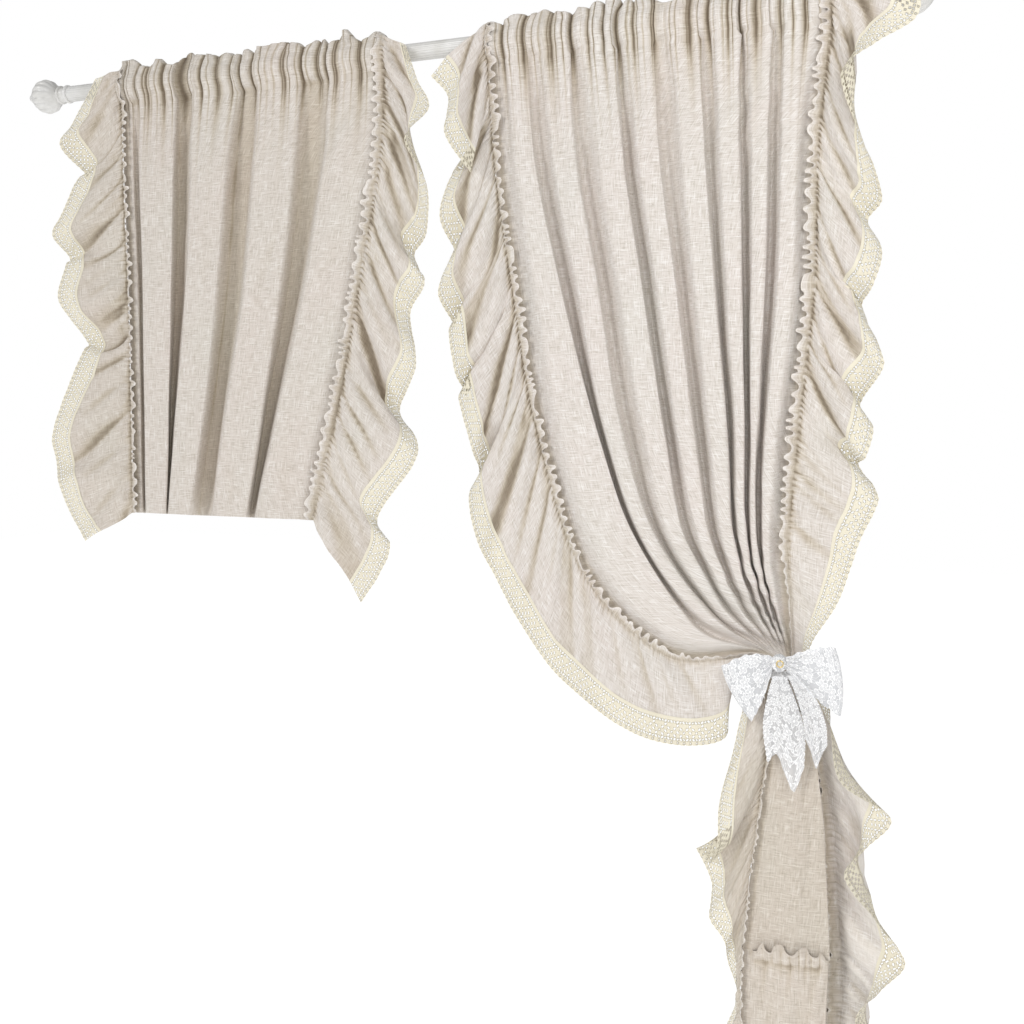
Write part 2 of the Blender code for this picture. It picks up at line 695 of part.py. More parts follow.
def main():
    for old in list(bpy.data.objects):
        bpy.data.objects.remove(old)
    folder = bpy.data.collections.new("ruffled_curtains")
    bpy.context.scene.collection.children.link(folder)
    linen = make_material("linen", (0.74, 0.67, 0.58), 0.9)
    lace = make_material("lace", (0.85, 0.79, 0.62), 0.9)
    white_lace = make_material("white_lace", (0.9, 0.9, 0.9), 0.8)
    paint = make_material("white_paint", (0.85, 0.85, 0.82), 0.35)
    gold = make_material("gold", (0.75, 0.6, 0.3), 0.3)
    add_rod(paint, folder)
    add_finial("finial_left", -1, paint, folder)
    add_finial("finial_right", 1, paint, folder)
    left, right = left_net(), right_net()
    add_sheet("panel_left", panel(left, 11, 31), CLOTH, linen, folder)
    add_sheet("panel_right", panel(right, 21, 37), CLOTH, linen, folder)
    tail_foot = np.array((0, 0, -BOTTOM_DROP))
    lines = {
        "left_outer": (seam_line(left, 0, None), LEFT_OUTER_HEM, 1, 1),
        "left_inner": (seam_line(left, -1, None), LEFT_INNER_HEM, -1, 1),
        "right_inner": (seam_line(right, 0, right[-1][0] + tail_foot), RIGHT_INNER_HEM, 1, 1.2),
        "right_outer": (seam_line(right, -1, right[-1][-1] + tail_foot), RIGHT_OUTER_HEM, -1, 2.4),
    }
    for name, (line, hem, inner, pinched) in lines.items():
        cloth_grid, lace_grid = ruffle(line, hem, 2, inner, pinched)
        add_sheet(f"ruffle_{name}", cloth_grid, CLOTH, linen, folder)
        add_sheet(f"lace_{name}", lace_grid, LACE_CLOTH, lace, folder)
    cloth_grid, lace_grid = bottom_ruffle(right, 38)
    add_sheet("ruffle_bottom", cloth_grid, CLOTH, linen, folder)
    add_sheet("lace_bottom", lace_grid, LACE_CLOTH, lace, folder)
    add_band(white_lace, folder)
    for name, top, bottom, rise in LOOPS:
        add_sheet(name, loop_grid(top, bottom, rise, 12, 6), BOW_CLOTH, white_lace, folder)
    for name, (levels, below) in TAILS.items():
        add_sheet(name, tail_grid(levels, below, 8, 7), BOW_CLOTH, white_lace, folder)
    add_knot(white_lace, folder)
    add_ring(gold, folder)


main()
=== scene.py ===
# Looks of the ruffled curtains: linen with its gathers, lace with cut holes, a lace bow
# and a fluted, painted rod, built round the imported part. Tables are in mm.
import math

import bpy
import numpy as np
from mathutils import Matrix, Vector


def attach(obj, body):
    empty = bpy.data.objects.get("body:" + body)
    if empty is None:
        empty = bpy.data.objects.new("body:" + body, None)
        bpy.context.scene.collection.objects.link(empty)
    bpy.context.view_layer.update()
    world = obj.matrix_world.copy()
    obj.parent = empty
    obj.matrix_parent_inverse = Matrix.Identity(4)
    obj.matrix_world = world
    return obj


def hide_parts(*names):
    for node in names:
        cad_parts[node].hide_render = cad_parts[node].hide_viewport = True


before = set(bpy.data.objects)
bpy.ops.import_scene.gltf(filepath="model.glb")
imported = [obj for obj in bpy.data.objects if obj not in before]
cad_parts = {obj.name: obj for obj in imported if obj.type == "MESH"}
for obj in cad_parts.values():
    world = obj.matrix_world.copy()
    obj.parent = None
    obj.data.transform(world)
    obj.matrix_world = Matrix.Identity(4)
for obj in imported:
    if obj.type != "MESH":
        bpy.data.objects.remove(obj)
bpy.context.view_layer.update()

MM = 0.001

# The photograph's camera: where it stands, its heading and pitch, and its lens.
CAMERA_AT = (1.2708, -2.4033, -0.7044)
CAMERA_HEADING = math.radians(23.8)
CAMERA_PITCH = math.radians(4.924)
CAMERA_LENS = 45.7
SENSOR = 36

# The tables give x and z in mm on the upright plane through the rod, as met by the line
# from EYE, and a depth in mm, minus into the room, as the part's own source does.
EYE = np.array((1270.0, -2400.0, -705.0))

# The rod: half its length, its radius, the smaller radius of its ends, and its flutes.
ROD_HALF = 905
ROD_RADIUS = 17.5
ROD_END_RADIUS = 16.8
FLUTES = 22
FLUTE_DEPTH = 1.1

# Lace strips: their width and how far they lap the linen.
LACE_WIDTH = 48
LACE_LAP = 4

# The narrow heading beside a ruffle's seam: its width, how far in from the seam each of its
# rows reaches, the painted shade of each row with a painted highlight below 0, and how long one
# turn of its squiggle is.
FRILL = 18
FRILL_REACHES = (16.5, 18, 17.5, 16, 12.5, 8.5, 4.5)
FRILL_SHADE = (0, -0.75, -0.75, -0.3, 0.1, 0.35, 0.5)
FRILL_ROWS = len(FRILL_REACHES)
FRILL_TURN = 22
FRILL_SQUIGGLE = 8.5
# how much farther it reaches in on the tail's right edge
FRILL_ON_TAIL = 9

# How far a ruffle's seam lies before its panel, and how wide the panel's flat edge is.
IN_FRONT = 3.4
EDGE_ZONE = 26

# The pocket round the rod, the header above it, and how high the ruffles' seams run.
HEADER_TOP = 46
SEAM_TOP = 35
POCKET_HALF = 34
POCKET_FRONT = -22.5
POCKET_BACK = 22.5
POCKET_STITCH_FRONT = -7
POCKET_STITCH_BACK = 3
POCKET_REST = -6
POCKET_SHARE = 0.45
FRONT_HEIGHTS = (-28, -10, 10, 28)
TOP_FOLD = 3

# The header's rows up the front and down the back, how far its edge leans aside, how much the
# big gathers raise it, and how ragged it is.
HEADER_ROWS = 31
HEADER_ROWS_BEHIND = 21
HEADER_LEAN = 9
HEADER_RISE = 12
HEADER_RAGGED = 8

# A panel's big and small gathers at the header and those under the tie: how wide they are, how
# far they stand out, how soon they fade below the header, and how soon at the panel's sides.
GATHER = 46
GATHER_LIFT = 11
GATHER_FADE = 110
GATHER_SMALL = 19
GATHER_SMALL_LIFT = 4
GATHER_SMALL_FADE = 45
GATHER_AT_TIE = 27
AT_TIE_LIFT = 13
SIDE_FADE = 30

# Folds: how much flatter their tops and floors are than the smooth net, and which share of
# their depth the slope between them takes.
STEEPNESS = 0.85
FOLD_SLOPE = 0.64

# Where the rows of a ruffle's cloth lie between its seam and its lace.
RUFFLE_ROWS = (0, 0.03, 0.06, 0.1, 0.15, 0.21, 0.29, 0.38, 0.48, 0.58, 0.68, 0.78, 0.89, 1.0)

# A ruffle's folds: how wide they are along the seam, how far they stand out, how they slant.
SEAM_GATHER = 12
SEAM_GATHER_LIFT = 4.6
BIG_FOLD = 66
BIG_FOLD_LIFT = 16.0
SMALL_FOLD = 27
SMALL_FOLD_LIFT = 4.0
SWAY = 58
SWAY_LIFT = 10.0
HEM_WAVE = 26
HEM_WAVE_LIFT = 1.6
SLANT = 0.55

# Left panel: x of every line at the heights of LEFT_LEVELS. front is 1 for a ridge's
# shoulder, 0 for the bottom of a valley.
LEFT_LEVELS = (-40, -200, -460, -700, -965)
LEFT_LINES = (
    # front, x at each level
    (0.35, (-755, -755, -750, -750, -752)),
    (0.35, (-729, -729, -724, -724, -726)),
    (0.00, (-712, -715, -712, -712, -714)),
    (1.00, (-688, -698, -703, -708, -712)),
    (0.95, (-622, -630, -640, -650, -664)),
    (0.00, (-575, -588, -606, -630, -655)),
    (1.00, (-535, -556, -582, -612, -645)),
    (0.95, (-465, -495, -523, -556, -604)),
    (0.00, (-405, -425, -455, -500, -550)),
    (1.00, (-367, -386, -420, -468, -518)),
    (0.95, (-300, -318, -353, -396, -445)),
    (0.00, (-235, -255, -300, -362, -425)),
    (1.00, (-188, -210, -262, -328, -405)),
    (1.10, (-140, -160, -205, -265, -345)),
    (0.75, (-101, -111, -164, -216, -288)),
    (0.75, (-75, -85, -138, -190, -262)),
)
LEFT_BACK = (-6, -6, -6, -6, -6)
LEFT_FRONT = (-24, -44, -52, -55, -55)

# Right panel: x, z of every line at pocket, upper, middle, lower, swag and turn.
RIGHT_LINES = {
    "seam": ((160, -40), (175, -250), (215, -500), (262, -750), (365, -1045), (545, -1200)),
    "a": ((226, -40), (248, -250), (303, -490), (375, -740), (458, -965), (590, -1140)),
    "b": ((311, -40), (328, -250), (375, -485), (424, -750), (500, -965), (622, -1115)),
    "c": ((405, -40), (428, -250), (470, -490), (516, -750), (556, -945), (646, -1098)),
    "d": ((485, -40), (500, -250), (535, -480), (572, -740), (610, -945), (674, -1088)),
    "e": ((573, -40), (590, -250), (612, -480), (640, -740), (660, -950), (701, -1080)),
    "f": ((650, -40), (656, -250), (668, -490), (680, -740), (688, -955), (720, -1078)),
    "g": ((710, -40), (710, -250), (710, -490), (706, -740), (708, -955), (734, -1077)),
    "h": ((770, -40), (765, -250), (760, -490), (738, -740), (730, -960), (748, -1077)),
    "end": ((833, -40), (814, -250), (812, -490), (790, -740), (773, -960), (781, -1080)),
}
RIGHT_BACK = (-6, -5, -5, -6, -10, -14)
RIGHT_FRONT = (-24, -44, -52, -56, -52, -42)
RIGHT_SEAM = (-10, -20, -24, -26, -28, -26)
VALLEY_SHARE = 0.36
# The neck above and below the tie: its levels, the first one's place among the net's rows,
# its sides, its depth, and how much deeper its right side lies.
NECK_LEVELS = (-1182, -1234)
NECK_STATION = 6
NECK_LEFT = 728
NECK_RIGHT = 786
NECK_DEPTH = -20
NECK_SPREAD = 12

# The tail: its levels, its sides and its depths at each, where each line of the net stands
# between its sides, from which line on they lie behind, and up to which they face the room.
TAIL_LEVELS = (-1345, -1500, -1760)
TAIL_LEFT = (740, 722, 696)
TAIL_RIGHT = (822, 845, 862)
TAIL_FRONT = (-40, -46, -48)
TAIL_BACK = (8, 18, 24)
TAIL_SHARES = (
    0.00, 0.14, 0.22, 0.32, 0.42, 0.52, 0.64, 0.80, 1.00, 0.55,
    0.05, 0.50, 0.95, 0.50, 0.06, 0.45, 0.82, 1.00, 1.12,
)
TAIL_BEHIND = 6
FRONT_LINES = 8.3
# how much of the painted shade in its creases is taken off and painted light laid on its lines
# behind, and how much painted shade its front gets
TAIL_VEIL = 0.85
TAIL_SHADE = 0.42

# Hems of the side ruffles: station along the seam, x and z of the hem, its depth, and where
# it isn't 0, how far the ruffle's middle stands out sideways beyond the straight line.
LEFT_OUTER_HEM = (
    (-1.0, -830, 28, -34), (-0.5, -895, -60, -45), (-0.1, -940, -112, -60), (0.4, -862, -188, 0),
    (0.8, -888, -192, -42), (1.1, -945, -275, -65), (1.3, -970, -318, -52), (1.55, -922, -372, -4),
    (1.75, -934, -392, -42), (1.95, -960, -462, -55), (2.2, -925, -515, -38), (2.42, -872, -572, 0),
    (2.62, -888, -590, -40), (2.9, -942, -682, -60), (3.15, -988, -785, -62),
    (3.35, -980, -850, -40), (3.6, -972, -905, -58), (3.8, -940, -975, -40),
    (4.0, -897, -1038, -46),
)
LEFT_INNER_HEM = (
    (-1.0, -28, 18, -36), (-0.6, 0, -55, -38), (-0.2, 26, -112, -52), (0.2, -30, -168, -72, 30),
    (0.6, 18, -262, -56, 15), (1.05, 20, -360, -22), (1.3, -10, -408, 2), (1.52, 14, -465, -42),
    (1.8, -20, -525, -4), (2.15, -8, -632, -55), (2.5, -46, -728, -10), (2.8, -6, -788, -48),
    (3.1, -18, -842, -64), (3.5, -102, -952, -22), (3.75, -72, -1010, -44), (3.9, -100, -1076, -52),
    (4.0, -145, -1138, -46),
)
RIGHT_INNER_HEM = (
    (-1.0, 32, -50, -44), (-0.7, 68, -90, -50), (-0.3, 66, -130, -72), (-0.05, 64, -172, -84),
    (0.3, 118, -246, -82), (0.44, 110, -230, -54), (0.6, 80, -246, -24), (0.72, 50, -330, -34),
    (0.9, 84, -402, -2), (1.08, 70, -422, -48), (1.28, 46, -486, -66), (1.45, 82, -552, -16),
    (1.62, 70, -562, -56), (1.85, 84, -650, -70), (2.0, 112, -692, -20), (2.15, 92, -700, -56),
    (2.4, 120, -800, -76), (2.62, 138, -852, -30), (2.82, 113, -900, -62), (3.1, 132, -990, -76),
    (3.35, 172, -1062, -46), (3.65, 222, -1146, -68), (3.95, 292, -1238, -50),
    (4.25, 356, -1292, -70), (4.55, 430, -1340, -50), (4.85, 505, -1368, -66),
    (5.2, 590, -1372, -46), (5.52, 656, -1350, -30), (5.66, 662, -1300, -14),
    (5.8, 656, -1240, -16), (5.92, 681, -1210, -22), (6.08, 708, -1196, -31),
    (6.3, 712, -1200, -28), (6.7, 712, -1220, -27), (7.0, 710, -1238, -32), (7.22, 690, -1296, -54),
    (7.6, 672, -1380, -66), (8.1, 648, -1480, -72), (8.55, 645, -1568, -70),
    (8.75, 630, -1600, -44), (8.9, 604, -1574, -14), (9.1, 636, -1640, 2), (9.35, 632, -1708, -34),
    (9.6, 662, -1752, -46), (9.85, 670, -1795, -14), (10.3, 688, -1860, -34),
    (11.0, 655, -1955, -30),
)
RIGHT_OUTER_HEM = (
    (-1.0, 985, 8, -58), (-0.8, 974, -44, -62), (-0.55, 908, -78, -72, 10),
    (-0.3, 856, -114, -88, 22), (-0.1, 854, -150, -82, 26), (0.3, 882, -225, -76, 14),
    (0.7, 915, -305, -58), (0.95, 925, -352, -28), (1.12, 902, -388, 0), (1.3, 928, -440, -46),
    (1.55, 914, -500, -64), (1.75, 896, -538, -10), (1.98, 925, -605, -50), (2.2, 934, -648, -62),
    (2.42, 896, -712, -6), (2.6, 920, -752, -48), (2.8, 908, -806, -58), (2.95, 896, -822, -12),
    (3.2, 930, -872, -50), (3.5, 925, -905, -58), (3.9, 900, -962, -52), (4.5, 866, -1070, -42),
    (5.3, 822, -1145, -30), (6.0, 810, -1184, -20), (6.9, 808, -1216, -20), (7.25, 850, -1262, -38),
    (7.5, 858, -1325, -60, 16), (7.85, 878, -1412, -70, 26), (8.2, 968, -1467, -44),
    (8.6, 925, -1530, -60, 20), (8.95, 888, -1590, -72, 44), (9.4, 950, -1668, -58, 12),
    (9.8, 1000, -1735, -34), (10.2, 955, -1800, -54, 20), (10.5, 914, -1866, -68, 36),
    (11.0, 962, -1955, -40),
)

# Rows of the bottom ruffle: height on the tail's front, height behind it, how far forward.
BOTTOM_DROP = 205
BOTTOM_ROWS = (
    (16, -2.5, 4.6),
    (6, -4, 4.6),
    (-5, -6, 4.6),
    (-20, -20, 0),
    (-86, -86, 0),
    (-155, -155, 0),
)
# its broad waves at the hem, one turn of its heading's squiggle and how high that stands,
# and its small gathers
BOTTOM_WAVE = 5
BOTTOM_HEADING = 40
BOTTOM_SQUIGGLE = 9
BOTTOM_GATHER = 15
BOTTOM_SEED = 170
BASE_STEPS = 16

# The tie: its band round the neck, the knot before it, and the ring sewn to the knot.
BAND_CENTRE = (757, -1213)
BAND_HALF_WIDTH = 60
BAND_HALF_DEPTH = 31
BAND_HEIGHT = 16

KNOT = (759, -1196, -62)
KNOT_SIZE = (30, 20, 34)
RING_RADIUS = 6
RING_WIRE = 1.3
RING_GAP = 1.8
LOOPS = (
    # name, top corner, bottom corner, how much its top edge rises above the straight
    ("bow_loop_left", (648, -1212), (708, -1312), 26),
    ("bow_loop_right", (862, -1158), (874, -1288), 12),
)
# how deep a loop is, how far its end bulges, how high its root is, how deep its pleats are
LOOP_ROOM = 13
LOOP_BELLY = 9
LOOP_ROOT = 22
LOOP_PLEAT = 3.4
# a bow tail's length, and how wide and high the small loops along its edges are
TAIL_LENGTH = 160
PICOT = 8
PICOT_HEIGHT = 1.6
# Each tail: height, left, right and depth down it, how far its end hangs below across its
# width, and its flat sheet in m.
TAILS = {
    "bow_tail_centre": (
        ((-1222, 748, 772, -62), (-1262, 738, 790, -66), (-1312, 731, 808, -66), (-1368, 740, 808, -64)),
        (20, 2, 40, 70, 24),
        (0.07, 0.17),
    ),
    "bow_tail_right": (
        ((-1218, 776, 790, -70), (-1255, 792, 826, -80), (-1300, 806, 846, -88), (-1338, 812, 850, -88)),
        (0, 22, 50, 26, 6),
        (0.045, 0.14),
    ),
}

# Finial: distance from the rod's end and radius, from the collar to the tip.
FINIAL_PROFILE = (
    (0.4, 0), (0.4, 17), (2, 19.5), (5, 20.5), (8, 19), (9, 16.5), (12, 16), (20, 16), (22, 17),
    (23, 20), (25.5, 20.6), (28, 19.5), (30, 16), (33, 13), (37, 14), (42, 22), (52, 32), (66, 36),
    (82, 33), (94, 24), (99, 17.5), (101, 16), (104, 15.5), (106, 12), (107, 9.5), (110, 10),
    (114, 8.5), (118, 5), (121.5, 0),
)
LOBES = 14
LOBE_FROM = 38
LOBE_TO = 98
LOBE_DEPTH = 0.13

# One repeat of the lace, its inner edge first: how open each cell is.
LACE_CELL = 6.0
LACE_LEAF = 0.3
LACE_HOLES = {".": 0.0, ":": 0.19, "o": 0.30, "O": 0.38}
LACE_CHART = (
    "........",
    "oOoOoOoO",
    ".O...O..",
    "O.O.O.O.",
    ".O.o.O.o",
    "O.O.O.O.",
    "OoOoOoOo",
    ".:.:.:.:",
)


def weights(count, at):
    """Rows of smooth-curve weights of count points, one row for each position in at."""
    at = np.atleast_1d(np.asarray(at, float))
    k = np.clip(np.floor(at), 0, count - 2).astype(int)
    f = at - k
    shares = (
        (2 * f**2 - f - f**3) / 2,
        (2 - 5 * f**2 + 3 * f**3) / 2,
        (f + 4 * f**2 - 3 * f**3) / 2,
        (f**3 - f**2) / 2,
    )
    rows = np.zeros((len(at), count + 2))
    for step, share in enumerate(shares):
        rows[np.arange(len(at)), k + step] += share
    # the points before the first and after the last lie straight on
    rows[:, 1] += 2 * rows[:, 0]
    rows[:, 2] -= rows[:, 0]
    rows[:, -2] += 2 * rows[:, -1]
    rows[:, -3] -= rows[:, -1]
    return rows[:, 1:-1]


def spline(points, at):
    """Points of the smooth curve through these at positions at."""
    points = np.asarray(points, float)
    return np.tensordot(weights(len(points), at), points, 1)


def surface(net, down, across):
    """The smooth surface over a net of control points, at these positions."""
    return np.einsum("vi,ijc,uj->vuc", weights(len(net), down), net, weights(net.shape[1], across))


def seen(x, z, depth):
    """Points in mm at this depth on the lines from the eye through x, z."""
    x, z, depth = np.broadcast_arrays(*(np.asarray(part, float) for part in (x, z, depth)))
    share = (depth - EYE[1]) / -EYE[1]
    return np.stack((EYE[0] + (x - EYE[0]) * share, depth, EYE[2] + (z - EYE[2]) * share), -1)


def ramp(share):
    """share held between 0 and 1."""
    return np.clip(share, 0.0, 1.0)


def ease(share):
    """A soft step from 0 to 1."""
    share = ramp(share)
    return share * share * (3 - 2 * share)


def from_sides(run):
    """How far each length lies from the nearer end of its row."""
    return np.minimum(run, run[..., -1:] - run)


def unit(vectors):
    return vectors / np.maximum(np.linalg.norm(vectors, axis=-1, keepdims=True), 1e-9)


def wander(s, period, seed):
    """A smooth curve between -1 and 1 that changes every period."""
    values = np.random.default_rng(seed).uniform(-1, 1, 1024)
    s = np.asarray(s, float) / period
    k = np.floor(s).astype(int)
    f = ease(s - k)
    return values[k % 1024] * (1 - f) + values[(k + 1) % 1024] * f


def crumple(u, v, size_u, size_v, seed):
    """Smooth hills and hollows between -1 and 1 over a sheet."""
    values = np.random.default_rng(seed).uniform(-1, 1, (64, 64))
    u, v = np.asarray(u, float) / size_u, np.asarray(v, float) / size_v
    i, j = np.floor(u).astype(int), np.floor(v).astype(int)
    f, g = ease(u - i), ease(v - j)
    low = values[i % 64, j % 64] * (1 - f) + values[(i + 1) % 64, j % 64] * f
    high = values[i % 64, (j + 1) % 64] * (1 - f) + values[(i + 1) % 64, (j + 1) % 64] * f
    return low * (1 - g) + high * g


def pleats(s, period, seed):
    """Gathers along s: round tops with sharp creases between, from 0 to 1."""
    phase = math.pi * (s / period + 0.55 * wander(s, 2.3 * period, seed))
    return np.abs(np.sin(phase)) ** 0.6


def tucks(s, period, seed):
    """Rounder gathers along s that lean to one side, from 0 to 1 and uneven in height."""
    phase = 2 * math.pi * (s / period + 0.4 * wander(s, 2.1 * period, seed))
    height = 0.7 + 0.3 * wander(s, 1.6 * period, seed + 7)
    return height * (0.5 + 0.5 * np.sin(phase + 0.7 * np.sin(phase)))


def drawn(s, period, seed):
    """Broad flat gathers along s with deep narrow creases between, from 0 to 1."""
    phase = math.pi * (s / period + 0.58 * wander(s, 1.7 * period, seed))
    height = 0.8 + 0.2 * wander(s, 1.4 * period, seed + 7)
    return height * np.abs(np.sin(phase)) ** 0.6


def softened(grid, passes):
    """The grid after this many passes of averaging each point with its neighbours."""
    for _ in range(passes):
        for axis in (0, 1):
            count = grid.shape[axis]
            before = np.take(grid, [0, *range(count - 1)], axis)
            after = np.take(grid, [*range(1, count), -1], axis)
            grid = (before + 2 * grid + after) / 4
    return grid


def hollows(grid, passes, depth):
    """How far each point lies in a crease, from 0 to 1 at this depth behind its surroundings."""
    behind = np.einsum("vuc,vuc->vu", softened(grid, passes) - grid, facing_eye(grid))
    return ramp(behind / depth)


def facing_eye(grid):
    """Unit normals of a grid, turned to the eye's side."""
    out = normals(grid)
    side = np.sign(np.einsum("vuc,vuc->vu", EYE - grid, out))
    return out * side[..., None]


def length_along(points, axis):
    """Distance run along the rows (0) or columns (1) of a grid, from its first."""
    steps = np.linalg.norm(np.diff(points, axis=axis), axis=-1)
    start = np.zeros_like(np.take(steps, [0], axis=axis))
    return np.concatenate([start, np.cumsum(steps, axis=axis)], axis=axis)


def slide(points, depth):
    """Points moved along their lines of sight to these depths."""
    share = (depth - EYE[1]) / (points[..., 1] - EYE[1])
    return EYE + (points - EYE) * share[..., None]


def steepen(skirt, down, look):
    """The folds with flatter tops and floors and steeper sides, and how deep each point lies;
    the look's floor is the share of the depth at which the valleys' flat floors end."""
    stations = np.arange(len(look["back"]))
    low = np.interp(down, stations, look["back"])[:, None]
    high = np.interp(down, stations, look["front"])[:, None]
    rise = (skirt[..., 1] - low) / (high - low)
    boxy = ease((rise - look["floor"]) / FOLD_SLOPE)
    inner = ease((from_sides(length_along(skirt, 1)) - 20) / 45)
    fade = ease((len(stations) - 0.6 - down) / 0.8)[:, None] * STEEPNESS * inner
    changed = low + (high - low) * (rise + (boxy - rise) * fade)
    return slide(skirt, changed), ramp(1 - boxy) * fade


def normals(grid):
    """Unit normals of a grid whose rows run down and columns run right: they face the room."""
    return unit(np.cross(np.gradient(grid, axis=0), np.gradient(grid, axis=1)))


def left_net():
    net = []
    for row, z in enumerate(LEFT_LEVELS):
        back, front = LEFT_BACK[row], LEFT_FRONT[row]
        net.append([seen(xs[row], z, back + (front - back) * w) for w, xs in LEFT_LINES])
    return np.array(net)


def right_upper_row(row):
    """Control points of the right skirt at one level above the tie."""
    names = list(RIGHT_LINES)
    seams = [seen(*point, depth) for point, depth in zip(RIGHT_LINES["seam"], RIGHT_SEAM)]
    seams.append(seen(NECK_LEFT, NECK_LEVELS[0], NECK_DEPTH - NECK_SPREAD))
    along = unit(seams[row + 1] - seams[max(row - 1, 0)])
    inward = np.array((-along[2], 0, along[0]))
    points = [seams[row], seams[row] + EDGE_ZONE * inward]
    for name, following in zip(names[1:-1], names[2:]):
        x, z = RIGHT_LINES[name][row]
        next_x, next_z = RIGHT_LINES[following][row]
        points.append(seen(x, z, RIGHT_FRONT[row]))
        valley_x = x + (next_x - x) * VALLEY_SHARE
        valley_z = z + (next_z - z) * VALLEY_SHARE
        points.append(seen(valley_x, valley_z, RIGHT_BACK[row]))
    end = seen(*RIGHT_LINES["end"][row], RIGHT_SEAM[row])
    zone = min(EDGE_ZONE, 0.6 * (end[0] - points[-2][0]))
    points[-1] = end - np.array((zone, 0, 0))
    return np.array(points + [end])


def neck_row(z, count):
    """Control points of the right panel drawn together at the tie."""
    share = np.linspace(0, 1, count)
    x = NECK_LEFT + (NECK_RIGHT - NECK_LEFT) * share
    return seen(x, z, NECK_DEPTH + (2 * share - 1) * NECK_SPREAD)


def tail_row(row, count):
    """Control points of the tail at one level: a broad front and the rest folded behind."""
    k = np.arange(count)
    behind = ramp((k - TAIL_BEHIND) / (count - 3 - TAIL_BEHIND))
    x = TAIL_LEFT[row] + (TAIL_RIGHT[row] - TAIL_LEFT[row]) * np.array(TAIL_SHARES)
    depth = TAIL_FRONT[row] + (TAIL_BACK[row] - TAIL_FRONT[row]) * behind
    points = seen(x, TAIL_LEVELS[row], depth)
    points[:, 2] = points[0, 2]
    return points


def right_net():
    net = [right_upper_row(row) for row in range(len(RIGHT_BACK))]
    count = len(net[0])
    net += [neck_row(z, count) for z in NECK_LEVELS]
    net += [tail_row(row, count) for row in range(len(TAIL_LEVELS))]
    return np.array(net)


def pocket(z, side, stitch):
    """Depth of the pocket's cloth at heights z, from its stitches out to its side."""
    return stitch + (side - stitch) * np.sqrt(np.maximum(0.0, 1 - (z / POCKET_HALF) ** 2))


def up_the_front(z, foot_depth):
    """Depth of the pocket's front at heights z, over cloth that hangs at foot_depth."""
    z, foot_depth = np.broadcast_arrays(np.asarray(z, float), foot_depth)
    stand = (foot_depth - POCKET_REST) * POCKET_SHARE
    heights = (LEFT_LEVELS[0], *FRONT_HEIGHTS, HEADER_TOP - TOP_FOLD)
    at = np.interp(z, heights, np.arange(len(heights)))
    depths = [foot_depth]
    for height in FRONT_HEIGHTS:
        depths.append(pocket(height, POCKET_FRONT, POCKET_STITCH_FRONT) + stand)
    depths.append(POCKET_STITCH_FRONT + 1 + stand)
    depths = np.array(depths)
    k = np.minimum(np.floor(at).astype(int), len(heights) - 2)
    low = np.take_along_axis(depths, k[None], 0)[0]
    high = np.take_along_axis(depths, k[None] + 1, 0)[0]
    return low + (high - low) * (at - k)


def header_top(x):
    return HEADER_TOP + 5 * np.sin(x / 31) + 4 * np.sin(x / 13 + 1)


def gathers(s, seed):
    """The big and the small gathers of a panel at lengths s, each from 0 to 1."""
    return drawn(s, GATHER, seed), drawn(s, GATHER_SMALL, seed + 1)


def creases(s, seed):
    """How near each place along s lies to a crease of the gathers, from 0 to 1."""
    big, small = gathers(s, seed)
    return np.maximum(ramp((0.66 - big) / 0.5), ramp((0.5 - small) / 0.4))


def header(first, s, seed):
    """Rows of the pocket and header above the skirt's first row, the hem behind first."""
    x, foot = first[:, 0], first[:, 1]
    foot_z = LEFT_LEVELS[0]
    big, small = gathers(s, seed)
    lean = HEADER_LEAN * wander(s, 26, seed + 3)
    top = header_top(x) + HEADER_RISE * (big - 0.85) + HEADER_RAGGED * wander(s, 23, seed + 2)
    rows = []
    for share in np.linspace(0, 1, HEADER_ROWS + 1)[1:]:
        z = foot_z + (top - TOP_FOLD - foot_z) * share
        flat_z = np.minimum(z, HEADER_TOP - TOP_FOLD)
        lift = ease((z - 20) / 24)
        tube = np.sin(math.pi * ramp((z - foot_z) / 62))
        puff = (GATHER_LIFT + 5 * lift + 4 * tube) * big
        puff += (GATHER_SMALL_LIFT + 2 * tube + 3 * lift) * small
        depth = up_the_front(flat_z, foot) - puff + 6 + 2 * lift
        rows.append(np.stack((x + lean * lift, depth, z), -1))
    fold = POCKET_STITCH_FRONT + 5 - 9 * big - 3 * small
    for shift, height in ((0.0, -0.8), (2.5, 0.0), (5.0, -0.8)):
        rows.append(np.stack((x + lean, fold + shift, top + height), -1))
    for share in np.linspace(0, 1, HEADER_ROWS_BEHIND + 1)[1:]:
        z = top - TOP_FOLD + (foot_z - top + TOP_FOLD) * share
        lift = ease((z - 24) / 22)
        puff = (3 + 6 * lift) * big + 2 * small
        depth = pocket(np.clip(z, -POCKET_HALF, POCKET_HALF), POCKET_BACK, POCKET_STITCH_BACK)
        rows.append(np.stack((x + lean * lift, depth + puff, z), -1))
    return np.array(rows[::-1])


